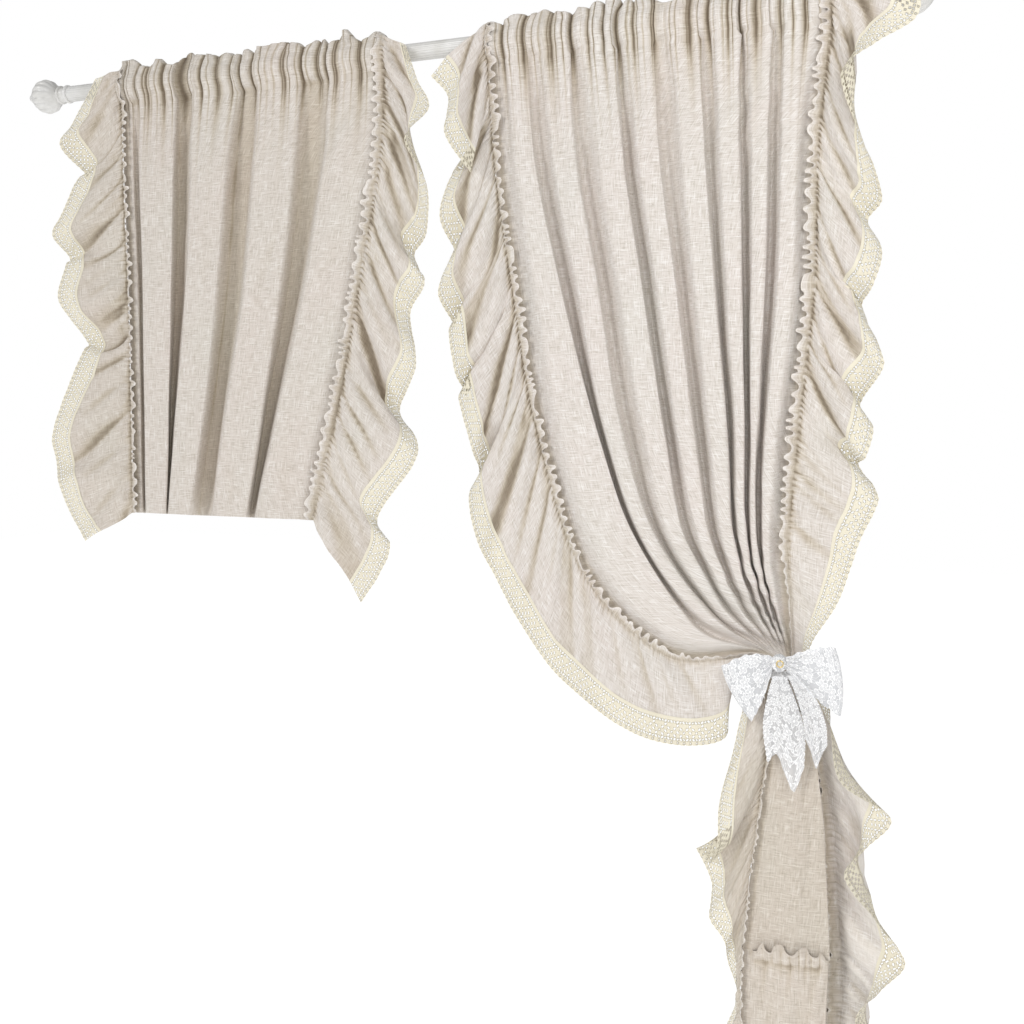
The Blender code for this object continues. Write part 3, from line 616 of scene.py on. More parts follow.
def panel(net, down, across, look):
    """A panel's sheet: its skirt with the gathers, how deep the folds lie, lengths across and
    down, and the pocket and header above."""
    seed = look["seed"]
    skirt, deep = steepen(surface(net, down, across), down, look)
    run = length_along(skirt, 1)
    fall = length_along(skirt, 0)
    at_top = run[0]
    out = normals(skirt)
    big, small = gathers(at_top, seed)
    edge = ease(from_sides(at_top) / SIDE_FADE)
    push = edge * np.exp(-fall / GATHER_FADE) * (GATHER_LIFT * big - 6)
    push += edge * np.exp(-fall / GATHER_SMALL_FADE) * GATHER_SMALL_LIFT * small
    below = down - NECK_STATION
    under = ramp((below - 0.7) / 0.4) * np.exp(-ramp((below - 1) / 3) * 2.4)
    push += AT_TIE_LIFT * edge * under[:, None] * (drawn(run, GATHER_AT_TIE, seed + 8) - 0.5)
    push += 2.4 * crumple(run, fall, 40, 420, seed + 4) * ease(fall / 120) * edge
    push += 1.1 * crumple(run + fall * 0.2, fall, 24, 110, seed + 5) * edge
    level = np.broadcast_to(fall.mean(axis=1, keepdims=True), fall.shape)
    fall = fall + (level - fall) * ease(below)[:, None]
    return skirt + out * push[..., None], deep, run, fall, header(skirt[0], at_top, seed)


def closed(at, reach):
    """How far the cloth is drawn together: 1 at the tie, 0 beyond reach stations from it."""
    return np.exp(-(((at - 6.5) / reach) ** 4))


def seam_at(line, at):
    """Points on the seam at these stations; below 0 they run up the pocket to the header."""
    at = np.asarray(at, float)
    points = spline(line, np.maximum(at, 0))
    z = line[0][2] + (SEAM_TOP - line[0][2]) * -np.minimum(at, 0)
    up = np.stack((np.full_like(z, line[0][0]), up_the_front(z, line[0][1]), z), -1)
    return np.where((at < 0)[:, None], up, points)


class Ruffle:
    """A gathered strip between a seam and its waving hem: inner is 1 or -1 for the side of
    the panel it hangs on, and pinched how many stations of the seam the tie draws in."""

    def __init__(self, line, hem, inner, pinched, seed):
        self.line, self.inner = line, inner
        self.hem = np.array([(*row, 0)[:5] for row in hem], float)
        self.pinched, self.seed = pinched, seed
        self.fine = np.linspace(0, len(hem) - 1, (len(hem) - 1) * 40 + 1)
        seam, _, edge = self.frame(self.fine)[:3]
        self.seam_run = length_along(seam, 0)
        self.hem_run = length_along(edge, 0)
        self.lace_run = length_along(0.94 * edge + 0.06 * seam, 0)
        turned = self.facing(self.fine, np.full_like(self.fine, 0.3), 1)
        self.sign = -1 if turned[:, 1].mean() > 0 else 1

    def frame(self, a):
        """Seam, middle and edge points at table positions a, and the seam's directions."""
        at, x, z, depth, bulge = spline(self.hem, a).T
        at = np.clip(at, self.hem[0][0], self.hem[-1][0])
        seam = seam_at(self.line, at)
        ahead = seam_at(self.line, np.minimum(at + 0.05, self.hem[-1][0]))
        behind = seam_at(self.line, np.maximum(at - 0.05, -1))
        along = ahead - behind
        along[:, 1] = 0
        along = unit(along)
        inward = self.inner * np.stack((-along[:, 2], 0 * at, along[:, 0]), -1)
        seam = seam - np.array((0, IN_FRONT, 0))
        edge = seen(x, z, depth)
        middle = (seam + edge) / 2
        middle[:, 0] -= self.inner * 2 * bulge
        middle[:, 1] += 0.6 * bulge
        return seam, middle, edge, at, inward, along

    def base(self, a, t):
        seam, middle, edge = self.frame(a)[:3]
        t = t[:, None]
        return (1 - t) ** 2 * seam + 2 * t * (1 - t) * middle + t**2 * edge

    def facing(self, a, t, sign):
        """Unit normals at positions a along and t across."""
        last = len(self.hem) - 1
        down = self.base(np.minimum(a + 0.1, last), t) - self.base(np.maximum(a - 0.1, 0), t)
        out = self.base(a, np.minimum(t + 0.03, 1)) - self.base(a, np.maximum(t - 0.03, 0))
        return sign * unit(np.cross(down, out))

    def width(self, a):
        seam, middle, edge = self.frame(a)[:3]
        return np.linalg.norm(middle - seam, axis=1) + np.linalg.norm(edge - middle, axis=1)

    def points(self, a, t):
        """Points of the gathered cloth; a and t are flat arrays of one length."""
        at = np.clip(spline(self.hem, a)[:, 0], self.hem[0][0], self.hem[-1][0])
        s = np.interp(a, self.fine, self.seam_run)
        h = np.interp(a, self.fine, self.hem_run)
        far = t * self.width(a)
        loose = 1 - 0.9 * closed(at, self.pinched)
        near = np.exp(-((far / 15) ** 2))
        mid = ramp(far / 22) * ramp((1 - t) / 0.5)
        slant = s - SLANT * far
        calm = 1 - 0.4 * ramp((at - 2.5) / 2)
        gather = pleats(s, SEAM_GATHER, self.seed) - 0.45
        big = calm * (tucks(slant, BIG_FOLD, self.seed + 1) - 0.4)
        small = pleats(slant, SMALL_FOLD, self.seed + 7) - 0.5
        sway = wander(slant, SWAY, self.seed + 2)
        push = SEAM_GATHER_LIFT * gather * np.exp(-far / 16)
        push += BIG_FOLD_LIFT * big * mid * np.exp(-far / 120)
        push += SMALL_FOLD_LIFT * small * mid * np.exp(-far / 40)
        push += SWAY_LIFT * sway * ramp(far / 30) * ramp((1 - t) / 0.3)
        push += HEM_WAVE_LIFT * wander(h, HEM_WAVE, self.seed + 3) * ease(t)
        push -= 2.5 * near
        return self.base(a, t) + self.facing(a, t, self.sign) * (push * loose)[:, None]

    def frill(self, a, reach):
        """Points of the narrow heading that stands on the panel, reach mm in from the seam."""
        seam, _, _, at, inward, along = self.frame(a)
        s = np.interp(a, self.fine, self.seam_run)
        loose = 1 - 0.88 * closed(at, self.pinched)
        if self.inner > 0:
            loose = loose * (1 - 0.6 * ramp((at - 7) / 0.5))
        share = reach / FRILL
        turn = 2 * math.pi * (s / FRILL_TURN + 0.7 * wander(s, 37, self.seed + 4))
        height = 0.65 + 0.35 * wander(s, 19, self.seed + 8)
        swing = -0.8 * np.sin(2 * turn + 0.3) + 2.5 * wander(s, 17, self.seed + 5)
        squiggle = FRILL_SQUIGGLE * np.sin(turn) * height + 4.5 * wander(s, 27, self.seed + 6)
        out = reach * 0.85 + share * squiggle
        gather = 2.0 * (pleats(s, SEAM_GATHER, self.seed) - 0.45) * (1 - share)
        deep = -2.4 - gather - (6 * share + 1.6 * share * (1 + np.cos(turn)) * height)
        out += FRILL_ON_TAIL * ramp(-self.inner) * ramp(at - 7)
        moved = seam + inward * (out * loose)[:, None]
        moved += along * (swing * share**1.5 * loose)[:, None]
        moved[:, 1] += deep
        return moved


def cloth_grid(ruffle, step):
    """The ruffle's cloth: frill, seam and skirt, as a grid of points, with its lengths."""
    count = int(ruffle.hem_run[-1] / step)
    run = np.linspace(0, ruffle.seam_run[-1], count // 2 + 1)
    by_seam = np.interp(run, ruffle.seam_run, ruffle.fine)
    by_hem = np.interp(np.linspace(0, ruffle.hem_run[-1], count // 2 + 1), ruffle.hem_run, ruffle.fine)
    a = np.sort(np.concatenate([by_seam, by_hem[1:-1]]))
    width = ruffle.width(a)
    stop = 1 - np.minimum(LACE_WIDTH - 1, 0.34 * width) / width
    columns, across = [], []
    for reach in FRILL_REACHES:
        row = ruffle.frill(a, np.full_like(a, reach))
        if not columns:
            row[:, 1] += 1.2
        columns.append(row)
        across.append(np.full_like(a, -reach))
    for share in RUFFLE_ROWS:
        columns.append(ruffle.points(a, stop * share))
        across.append(stop * share * width)
    length = np.interp(a, ruffle.fine, (ruffle.seam_run + ruffle.hem_run) / 2)
    uv = np.stack((np.array(across).T, np.repeat(length[:, None], len(columns), 1)), -1)
    return np.array(columns).transpose(1, 0, 2), uv


def lace_points(ruffle):
    """Half-cell grid of the ruffle's lace, as points and lengths."""
    cells = len(LACE_CHART)
    count = max(2, round(ruffle.lace_run[-1] / LACE_CELL))
    a = np.interp(np.linspace(0, ruffle.lace_run[-1], 2 * count + 1), ruffle.lace_run, ruffle.fine)
    width = ruffle.width(a)
    start = 1 - np.minimum(LACE_WIDTH + LACE_LAP, 0.36 * width) / width
    grid = []
    for share in np.linspace(0, 1, 2 * cells + 1):
        t = start + (1 - start) * share
        over = ruffle.facing(a, t, ruffle.sign) * (0.6 * (1 - ease(share * 5)))
        grid.append(ruffle.points(a, t) + over)
    grid = np.array(grid).transpose(1, 0, 2)
    scallop = 1.4 * np.abs(np.sin(np.arange(2 * count + 1) * math.pi / 4))
    grid[:, -1] += unit(grid[:, -1] - grid[:, -2]) * scallop[:, None]
    u = np.arange(2 * cells + 1) * LACE_CELL / 2
    v = np.arange(2 * count + 1) * LACE_CELL / 2
    return grid, np.stack(np.meshgrid(u, v), -1)


def bottom_base(net):
    """The tail's lower edge as x and y, and its height."""
    base = spline(net[-1], np.linspace(0, net.shape[1] - 1, BASE_STEPS * net.shape[1]))
    return base[:, :2], base[0][2]


def bottom_points(base, foot, front, s, row):
    """Points of the bottom ruffle at lengths s and at a position among BOTTOM_ROWS."""
    lengths = length_along(base, 0)
    total = lengths[-1]
    table = np.array(BOTTOM_ROWS + ((-BOTTOM_DROP, -BOTTOM_DROP, 0),), float)
    front_z, behind_z, forward = [np.interp(row, range(len(table)), table[:, k]) for k in range(3)]

    def at(position):
        position = np.clip(position, 0, total)
        return np.stack([np.interp(position, lengths, base[:, k]) for k in range(2)], -1)

    along = unit(at(s + 3) - at(s - 3))
    normal = np.stack((along[:, 1], -along[:, 0]), -1)
    share = ramp((s - FRILL - 2) / 3) * ramp((front - s) / 3)
    lift = ramp((s - FRILL - 12) / 10) * ramp((front - 6 - s) / 10)
    behind_z = behind_z + 3.5 * ramp(1 - row)
    edge = ramp(np.minimum(s, total - s) / 60)
    drop = ramp(-front_z / 150)
    heading = ramp((3 - row) / 3) ** 2 * lift
    flat = 1 - ramp((3 - row) / 3) ** 2
    turn = 2 * math.pi * (s / BOTTOM_HEADING + 0.5 * wander(s, 70, BOTTOM_SEED))
    under_seam = math.exp(-max(0.0, row - 2) ** 2) * flat
    below = ramp(row - 2) * ramp((5.6 - row) / 2)
    wave = BOTTOM_WAVE * drop * edge * np.sin(2 * math.pi * s / 62)
    wave += 10 * heading * (0.6 + 0.5 * np.cos(turn))
    wave += 4.5 * under_seam * edge * (pleats(s, BOTTOM_GATHER, BOTTOM_SEED + 1) - 0.3)
    wave += 5 * below * edge * (tucks(s + 9 * row, 40, BOTTOM_SEED + 5) - 0.4)
    wave += 2.0 * drop * edge * wander(s, 24, BOTTOM_SEED + 2)
    xy = at(s) + normal * (forward * share + wave)[:, None]
    xy = xy - along * (2 * heading * np.sin(2 * turn + 0.3))[:, None]
    z = foot + behind_z + (front_z - behind_z) * lift
    z = z + heading * (BOTTOM_SQUIGGLE * np.sin(turn) + 4 * wander(s, 31, BOTTOM_SEED + 3))
    return np.concatenate([xy, z[:, None]], 1)


def loop_points(top, bottom, rise, u, w):
    """A bow loop: out along its front, round its end and back behind."""
    side = 1 if top[0] > KNOT[0] else -1
    root_x = KNOT[0] + side * (KNOT_SIZE[0] / 2 - 3)
    out = np.sin(math.pi * u)
    depth = KNOT[2] - LOOP_ROOM * np.cos(math.pi * u) * (0.35 + 0.65 * out)
    root_z = KNOT[1] + LOOP_ROOT * (0.5 - w)
    end_x = top[0] + (bottom[0] - top[0]) * w
    end_z = top[1] + (bottom[1] - top[1]) * w
    lift = rise * (1 - 2 * w) * np.sin(math.pi * out) * 0.5
    ripple = 1.5 * np.sin(9 * math.pi * out + side) * (np.abs(2 * w - 1) ** 3) * np.sign(0.5 - w)
    belly = side * LOOP_BELLY * out * (1 - (2 * w - 1) ** 2)
    x = root_x + (end_x - root_x) * out + belly
    z = root_z + (end_z - root_z) * out + lift + ripple
    pleat = LOOP_PLEAT * np.sin(math.pi * 5 * w + side) * (1 - 0.55 * out)
    pleat += 2.2 * wander(w * 60 + out * 18, 17, 50 + side) * out
    return seen(x, z, depth + pleat)


def tail_points(levels, points_below, v, w):
    """A bow tail: a strip that widens down from the knot to a pointed end, with small loops
    along its edges."""
    z, left, right, depth = spline(levels, v * (len(levels) - 1)).T
    below = spline(points_below, w * (len(points_below) - 1))
    fold = 3 * np.sin(math.pi * 3 * w) * v + 1.6 * np.sin(math.pi * 7 * w + 3 * v) * v
    across = w * (right - left)
    at_side = np.where(w > 0.5, 1, -1) * np.abs(2 * w - 1) ** 8
    picot = PICOT_HEIGHT * np.abs(np.sin(v * TAIL_LENGTH * math.pi / PICOT)) * at_side
    drip = 2.0 * np.abs(np.sin(across * math.pi / PICOT)) * v**12
    return seen(left + across + picot, z - below * v**2 - drip, depth + fold)


# Meshes


def make_mesh(name, points, faces, uv, shade=None):
    """A mesh from points in mm, four-sided faces, and lengths in mm as its UVs; shade is painted
    shade, 1 at a lace hole's rim or deep in a fold, and painted light below 0 where linen
    stands out pale."""
    mesh = bpy.data.meshes.new(name)
    mesh.from_pydata((points * MM).tolist(), [], faces.tolist())
    layer = mesh.uv_layers.new(name="UVMap")
    layer.data.foreach_set("uv", (uv[faces.ravel()] * MM).astype(np.float32).ravel())
    shade = np.zeros(len(points)) if shade is None else shade
    mesh.attributes.new("shade", "FLOAT", "POINT").data.foreach_set("value", shade.astype(np.float32))
    mesh.polygons.foreach_set("use_smooth", [True] * len(mesh.polygons))
    mesh.update()
    return mesh


def grid_faces(rows, columns):
    index = np.arange(rows * columns).reshape(rows, columns)
    corners = (index[:-1, :-1], index[1:, :-1], index[1:, 1:], index[:-1, 1:])
    return np.stack([corner.ravel() for corner in corners], -1)


def grid_mesh(name, grid, uv, shade=None):
    rows, columns = grid.shape[:2]
    shade = None if shade is None else shade.ravel()
    return make_mesh(name, grid.reshape(-1, 3), grid_faces(rows, columns), uv.reshape(-1, 2), shade)


def lace_mesh(name, grid, uv):
    """The lace's mesh: each open cell has a leaf-shaped hole with eight corners."""
    rows, columns = grid.shape[:2]
    down, across = (rows - 1) // 2, (columns - 1) // 2
    index = np.arange(rows * columns).reshape(rows, columns)
    chart = np.array([[LACE_HOLES[mark] for mark in line] for line in LACE_CHART])
    i, j = np.meshgrid(np.arange(down), np.arange(across), indexing="ij")
    hole = chart[j, i % chart.shape[1]]
    ring = ((0, 0), (1, 0), (2, 0), (2, 1), (2, 2), (1, 2), (0, 2), (0, 1))
    points, lengths = grid.reshape(-1, 3), uv.reshape(-1, 2)
    full = hole == 0
    faces = []
    fi, fj = 2 * i[full], 2 * j[full]
    for di, dj in ((0, 0), (1, 0), (1, 1), (0, 1)):
        corners = ((0, 0), (1, 0), (1, 1), (0, 1))
        faces.append(np.stack([index[fi + di + x, fj + dj + y] for x, y in corners], -1))
    hi, hj, size = 2 * i[~full], 2 * j[~full], hole[~full]
    outer = [index[hi + x, hj + y] for x, y in ring]
    centre, centre_uv = points[index[hi + 1, hj + 1]], lengths[index[hi + 1, hj + 1]]
    first = len(points)
    inner, extra, extra_uv = [], [], []
    slope = np.where((hi + hj) // 2 % 4 < 2, math.pi / 4, -math.pi / 4)
    for k, (x, y) in enumerate(ring):
        leaf = 1 + LACE_LEAF * np.cos(2 * (math.atan2(y - 1, x - 1) - slope))
        reach = (2 * size * leaf / math.hypot(x - 1, y - 1))[:, None]
        extra.append(centre + (points[outer[k]] - centre) * reach)
        extra_uv.append(centre_uv + (lengths[outer[k]] - centre_uv) * reach)
        inner.append(first + k * len(size) + np.arange(len(size)))
    for k in range(len(ring)):
        ahead = (k + 1) % len(ring)
        faces.append(np.stack((outer[k], outer[ahead], inner[ahead], inner[k]), -1))
    points = np.concatenate([points, *extra])
    lengths = np.concatenate([lengths, *extra_uv])
    # rim is 1 round each hole, where the lace's material lays painted shade
    rim = np.zeros(len(points))
    rim[first:] = 1
    faces = np.concatenate(faces)
    used = np.unique(faces)
    renumber = np.zeros(len(points), int)
    renumber[used] = np.arange(len(used))
    return make_mesh(name, points[used], renumber[faces], lengths[used], rim[used])


def placed(name, data):
    """A new object with this data, in the scene."""
    made = bpy.data.objects.new(name, data)
    bpy.context.scene.collection.objects.link(made)
    return made


def add_piece(name, mesh, material, node):
    piece = placed(name, mesh)
    mesh.materials.append(material)
    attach(piece, "root")
    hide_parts(node)
    return piece


# Materials


def new_material(name):
    material = bpy.data.materials.new(name)
    material.use_nodes = True
    return material, material.node_tree, material.node_tree.nodes["Principled BSDF"]


def feed(tree, made, inputs):
    """Give a node its inputs: a socket is linked, a plain value is set."""
    for key, value in dict(inputs).items():
        if isinstance(value, bpy.types.NodeSocket):
            tree.links.new(value, made.inputs[key])
        else:
            made.inputs[key].default_value = value


def node(tree, kind, inputs=(), **settings):
    """A shader node with its settings, and values or links for its inputs."""
    made = tree.nodes.new(kind)
    for name, value in settings.items():
        setattr(made, name, value)
    feed(tree, made, inputs)
    return made


def metres(tree, scale):
    """The cloth's own lengths, in repeats of 1 / scale metres each way."""
    uv = node(tree, "ShaderNodeUVMap", uv_map="UVMap")
    return node(tree, "ShaderNodeMapping", {"Vector": uv.outputs[0], "Scale": (*scale, 1)}).outputs[0]


def noise(tree, place, detail=2.0, scale=1.0):
    inputs = {"Vector": place, "Scale": scale, "Detail": detail}
    return node(tree, "ShaderNodeTexNoise", inputs).outputs["Fac"]


def threads(tree, scale, detail=2.0):
    """Noise in the cloth's own lengths, with 1 / scale metres to a repeat each way."""
    return noise(tree, metres(tree, scale), detail)


def bumped(tree, height, strength, distance, **below):
    """Normals of a surface with this height on it."""
    inputs = {"Height": height, "Strength": strength, "Distance": distance, **below}
    return node(tree, "ShaderNodeBump", inputs).outputs[0]


def shade_of(tree):
    """The painted shade the mesh carries at each point."""
    return node(tree, "ShaderNodeAttribute", attribute_name="shade").outputs["Fac"]


def maths(tree, kind, first, second=0.0, third=0.0):
    made = node(tree, "ShaderNodeMath", {0: first, 1: second, 2: third}, operation=kind)
    return made.outputs[0]


def spread(tree, value, low, high, out_low=0.0, out_high=1.0):
    """value from low to high, spread over out_low to out_high and held there."""
    made = node(
        tree,
        "ShaderNodeMapRange",
        {"Value": value, "From Min": low, "From Max": high, "To Min": out_low, "To Max": out_high},
    )
    return made.outputs[0]


def blend(tree, share, first, second, kind="MIX"):
    """One colour over another by a share from 0 to 1; a plain colour is a triple."""
    first, second = [(*tone, 1) if isinstance(tone, tuple) else tone for tone in (first, second)]
    inputs = {0: share, 6: first, 7: second}
    return node(tree, "ShaderNodeMix", inputs, data_type="RGBA", blend_type=kind).outputs[2]


LINEN = (0.70, 0.64, 0.595)
LINEN_GREENISH = (0.685, 0.645, 0.595)
LINEN_DARK = (0.46, 0.41, 0.345)
LINEN_LIGHT = (0.86, 0.835, 0.81)
# painted light, laid on the linen where the mesh's shade is below 0
LINEN_PAINTED_LIGHT = (0.94, 0.89, 0.815)


def linen_material():
    """Slubby oatmeal linen: crossed threads of uneven thickness, and a few dark flecks; painted
    shade in its folds and creases, and painted light where its shade is below 0.
    """
    material, tree, shader = new_material("oatmeal_linen")
    weft = threads(tree, (42, 430))
    warp = threads(tree, (430, 36))
    fleck = threads(tree, (330, 330), 1.0)
    # deep is the mesh's painted shade
    deep = shade_of(tree)
    cloth = blend(tree, spread(tree, threads(tree, (5, 3)), 0.35, 0.65), LINEN, LINEN_GREENISH)
    for value, low, high, share, colour, kind in (
        (weft, 0.46, 0.32, 0.50, LINEN_DARK, "MIX"),
        (warp, 0.46, 0.32, 0.45, LINEN_DARK, "MIX"),
        (weft, 0.56, 0.70, 0.75, LINEN_LIGHT, "MIX"),
        (warp, 0.56, 0.70, 0.65, LINEN_LIGHT, "MIX"),
        (fleck, 0.68, 0.74, 0.5, (0.30, 0.24, 0.17), "MIX"),
        # painted shade: a warm tint in folds and dark in creases; below 0, painted light
        (deep, 0, 0.6, 1, (0.74, 0.69, 0.59), "MULTIPLY"),
        (deep, 0.5, 1, 1, (0.34, 0.30, 0.25), "MULTIPLY"),
        (deep, -0.2, -1, 0.9, LINEN_PAINTED_LIGHT, "MIX"),
    ):
        cloth = blend(tree, spread(tree, value, low, high, 0, share), cloth, colour, kind)
    fine = maths(tree, "ADD", threads(tree, (120, 1100), 1.0), threads(tree, (1100, 120), 1.0))
    height = maths(tree, "MULTIPLY_ADD", maths(tree, "ADD", weft, warp), 0.8, fine)
    weave = bumped(tree, height, 0.5, 0.0006)
    creased = bumped(tree, threads(tree, (26, 16), 3.0), 0.35, 0.006, Normal=weave)
    feed(tree, shader, {
        "Base Color": cloth,
        "Normal": creased,
        "Roughness": 0.92,
        "Specular IOR Level": 0.2,
        "Sheen Weight": 0.15,
        "Sheen Roughness": 0.6,
    })
    return material


def cream_lace_material():
    """Cream cotton bobbin lace: twisted threads, with painted shade round its holes."""
    material, tree, shader = new_material("cream_lace")
    rim = shade_of(tree)
    thread = threads(tree, (900, 900))
    cloth = blend(tree, threads(tree, (40, 40)), (0.80, 0.745, 0.595), (0.86, 0.82, 0.695))
    cloth = blend(tree, spread(tree, thread, 0.3, 0.7, 0.25, 0.0), cloth, (0.60, 0.52, 0.36))
    # painted shade round each hole
    cloth = blend(tree, spread(tree, rim, 0.25, 0.95, 0, 0.9), cloth, (0.26, 0.22, 0.13))
    height = maths(tree, "MULTIPLY_ADD", rim, -1.2, thread)
    feed(tree, shader, {
        "Base Color": cloth,
        "Normal": bumped(tree, height, 0.7, 0.0009),
        "Roughness": 0.85,
        "Specular IOR Level": 0.25,
    })
    return material


def petals(tree, scale, petal_count, size, jitter):
    """How far inside a flower's edge each place is, and how far from its heart: ordinary
    flowers, one in each cell of 1 / scale metres."""
    place = metres(tree, (scale, scale))
    inputs = {"Vector": place, "Scale": 1.0, "Randomness": jitter}
    cells = node(tree, "ShaderNodeTexVoronoi", inputs, voronoi_dimensions="2D")
    inputs = {0: place, 1: cells.outputs["Position"]}
    away = node(tree, "ShaderNodeVectorMath", inputs, operation="SUBTRACT")
    parts = node(tree, "ShaderNodeSeparateXYZ", {0: away.outputs[0]})
    angle = maths(tree, "ARCTAN2", parts.outputs[1], parts.outputs[0])
    reach = cells.outputs["Distance"]
    wave = maths(tree, "SINE", maths(tree, "MULTIPLY", angle, petal_count / 2))
    edge = maths(tree, "MULTIPLY_ADD", maths(tree, "ABSOLUTE", wave), size * 0.55, size * 0.45)
    return maths(tree, "SUBTRACT", edge, reach), reach


def white_lace_material():
    """White net with corded flowers and vines; the net between them shows through."""
    material, tree, shader = new_material("white_lace")
    inside, from_heart = petals(tree, 46, 5, 0.48, 0.6)
    flower = maths(tree, "MULTIPLY", spread(tree, inside, -0.01, 0.03), 0.35)
    outline = spread(tree, maths(tree, "ABSOLUTE", inside), 0.03, 0.08, 1.0, 0.0)
    heart = spread(tree, from_heart, 0.09, 0.12, 1.0, 0.0)
    curl = maths(tree, "FRACT", maths(tree, "MULTIPLY", threads(tree, (80, 80), 0.5), 4.0))
    from_vine = maths(tree, "ABSOLUTE", maths(tree, "SUBTRACT", curl, 0.5))
    vine = maths(tree, "MULTIPLY", spread(tree, from_vine, 0.03, 0.11, 1.0, 0.0), 0.85)
    cover = flower
    for part in (outline, heart, vine):
        cover = maths(tree, "MAXIMUM", cover, part)
    feed(tree, shader, {
        "Base Color": blend(tree, cover, (0.70, 0.71, 0.73), (0.95, 0.95, 0.95)),
        "Alpha": spread(tree, cover, 0.0, 1.0, 0.66, 1.0),
        "Normal": bumped(tree, cover, 0.5, 0.0008),
        "Roughness": 0.7,
        "Sheen Weight": 0.1,
    })
    return material


def paint_material():
    """Off-white paint, slightly uneven, yellowed and duller where it was brushed thin."""
    material, tree, shader = new_material("white_paint")
    place = node(tree, "ShaderNodeTexCoord").outputs["Object"]
    tone = noise(tree, place, 4.0, 24.0)
    worn = spread(tree, tone, 0.35, 0.7)
    feed(tree, shader, {
        "Base Color": blend(tree, worn, (0.76, 0.755, 0.74), (0.64, 0.63, 0.60)),
        "Normal": bumped(tree, noise(tree, place, 2.0, 420.0), 0.25, 0.0004),
        "Roughness": spread(tree, tone, 0.3, 0.7, 0.25, 0.45),
        "Coat Weight": 0.3,
        "Coat Roughness": 0.2,
    })
    return material


def gold_material():
    material, tree, shader = new_material("gold_ring")
    tone = noise(tree, node(tree, "ShaderNodeTexCoord").outputs["Object"], 2.0, 900.0)
    feed(tree, shader, {
        "Base Color": blend(tree, tone, (0.72, 0.55, 0.24), (0.86, 0.70, 0.38)),
        "Roughness": spread(tree, tone, 0.3, 0.7, 0.2, 0.35),
        "Metallic": 1.0,
    })
    return material


# Pieces


def turned(name, profile, around, shape):
    """A turned mesh along X: profile of distance and radius in mm, shaped by shape()."""
    angle = np.linspace(0, 2 * math.pi, around, endpoint=False)
    points = np.array([shape(distance, radius, angle) for distance, radius in profile])
    index = np.arange(len(profile) * around).reshape(len(profile), around)
    ahead = np.roll(index, -1, axis=1)
    faces = np.stack([part.ravel() for part in (index[:-1], index[1:], ahead[1:], ahead[:-1])], -1)
    uv = np.stack(np.meshgrid(angle * 30, [distance for distance, _ in profile]), -1)
    return make_mesh(name, points.reshape(-1, 3), faces, uv.reshape(-1, 2))


def rod_ring(distance, radius, angle):
    fluted = radius > ROD_END_RADIUS
    flute = FLUTE_DEPTH * (1 - np.abs(np.sin(angle * FLUTES / 2)) ** 0.7) if fluted else 0
    reach = radius - flute
    return np.stack((0 * angle + distance, reach * np.cos(angle), reach * np.sin(angle)), -1)


def finial_ring(side):
    def ring(distance, radius, angle):
        share = math.sin(math.pi * ramp((distance - LOBE_FROM) / (LOBE_TO - LOBE_FROM)))
        lobes = LOBE_DEPTH * share * (np.abs(np.cos(angle * LOBES / 2)) ** 0.8 - 0.5)
        reach = radius * (1 + lobes)
        x = 0 * angle + side * (ROD_HALF + distance)
        return np.stack((x, side * reach * np.cos(angle), reach * np.sin(angle)), -1)

    return ring


def fine_profile(profile, steps):
    return spline(profile, np.linspace(0, len(profile) - 1, (len(profile) - 1) * steps + 1))


def build_rod(paint):
    ends = ((-ROD_HALF, 0), (-ROD_HALF, ROD_END_RADIUS), (-ROD_HALF + 1, ROD_RADIUS))
    profile = ends + tuple((-x, radius) for x, radius in ends[::-1])
    mesh = turned("painted_rod", profile, FLUTES * 6, rod_ring)
    add_piece("painted_rod", mesh, paint, "rod")
    profile = fine_profile(FINIAL_PROFILE, 3)
    profile[:, 1] = np.maximum(profile[:, 1], 0)
    for name, side in (("finial_left", -1), ("finial_right", 1)):
        mesh = turned(f"{name}_turned", profile, LOBES * 6, finial_ring(side))
        add_piece(f"{name}_turned", mesh, paint, name)


# Each panel: its valley and ridge depths, its mesh's rows and columns, the seed of its gathers,
# the share of the folds' depth where valley floors end, how much painted shade its valleys, creases
# and the whole get, how much painted light its valleys get towards the tie, and its flat sheet in m.
PANELS = {
    "panel_left": dict(
        back=LEFT_BACK, front=LEFT_FRONT, rows=110, columns=380, seed=11,
        floor=0.18, valley=0.45, folded=0.7, overall_shade=0.12, pale=0, flat=(0.95, 1.12),
    ),
    "panel_right": dict(
        back=RIGHT_BACK, front=RIGHT_FRONT, rows=135, columns=480, seed=23,
        floor=-0.12, valley=0.06, folded=0.1, overall_shade=0.0, pale=0.9, flat=(0.95, 2.0),
    ),
}


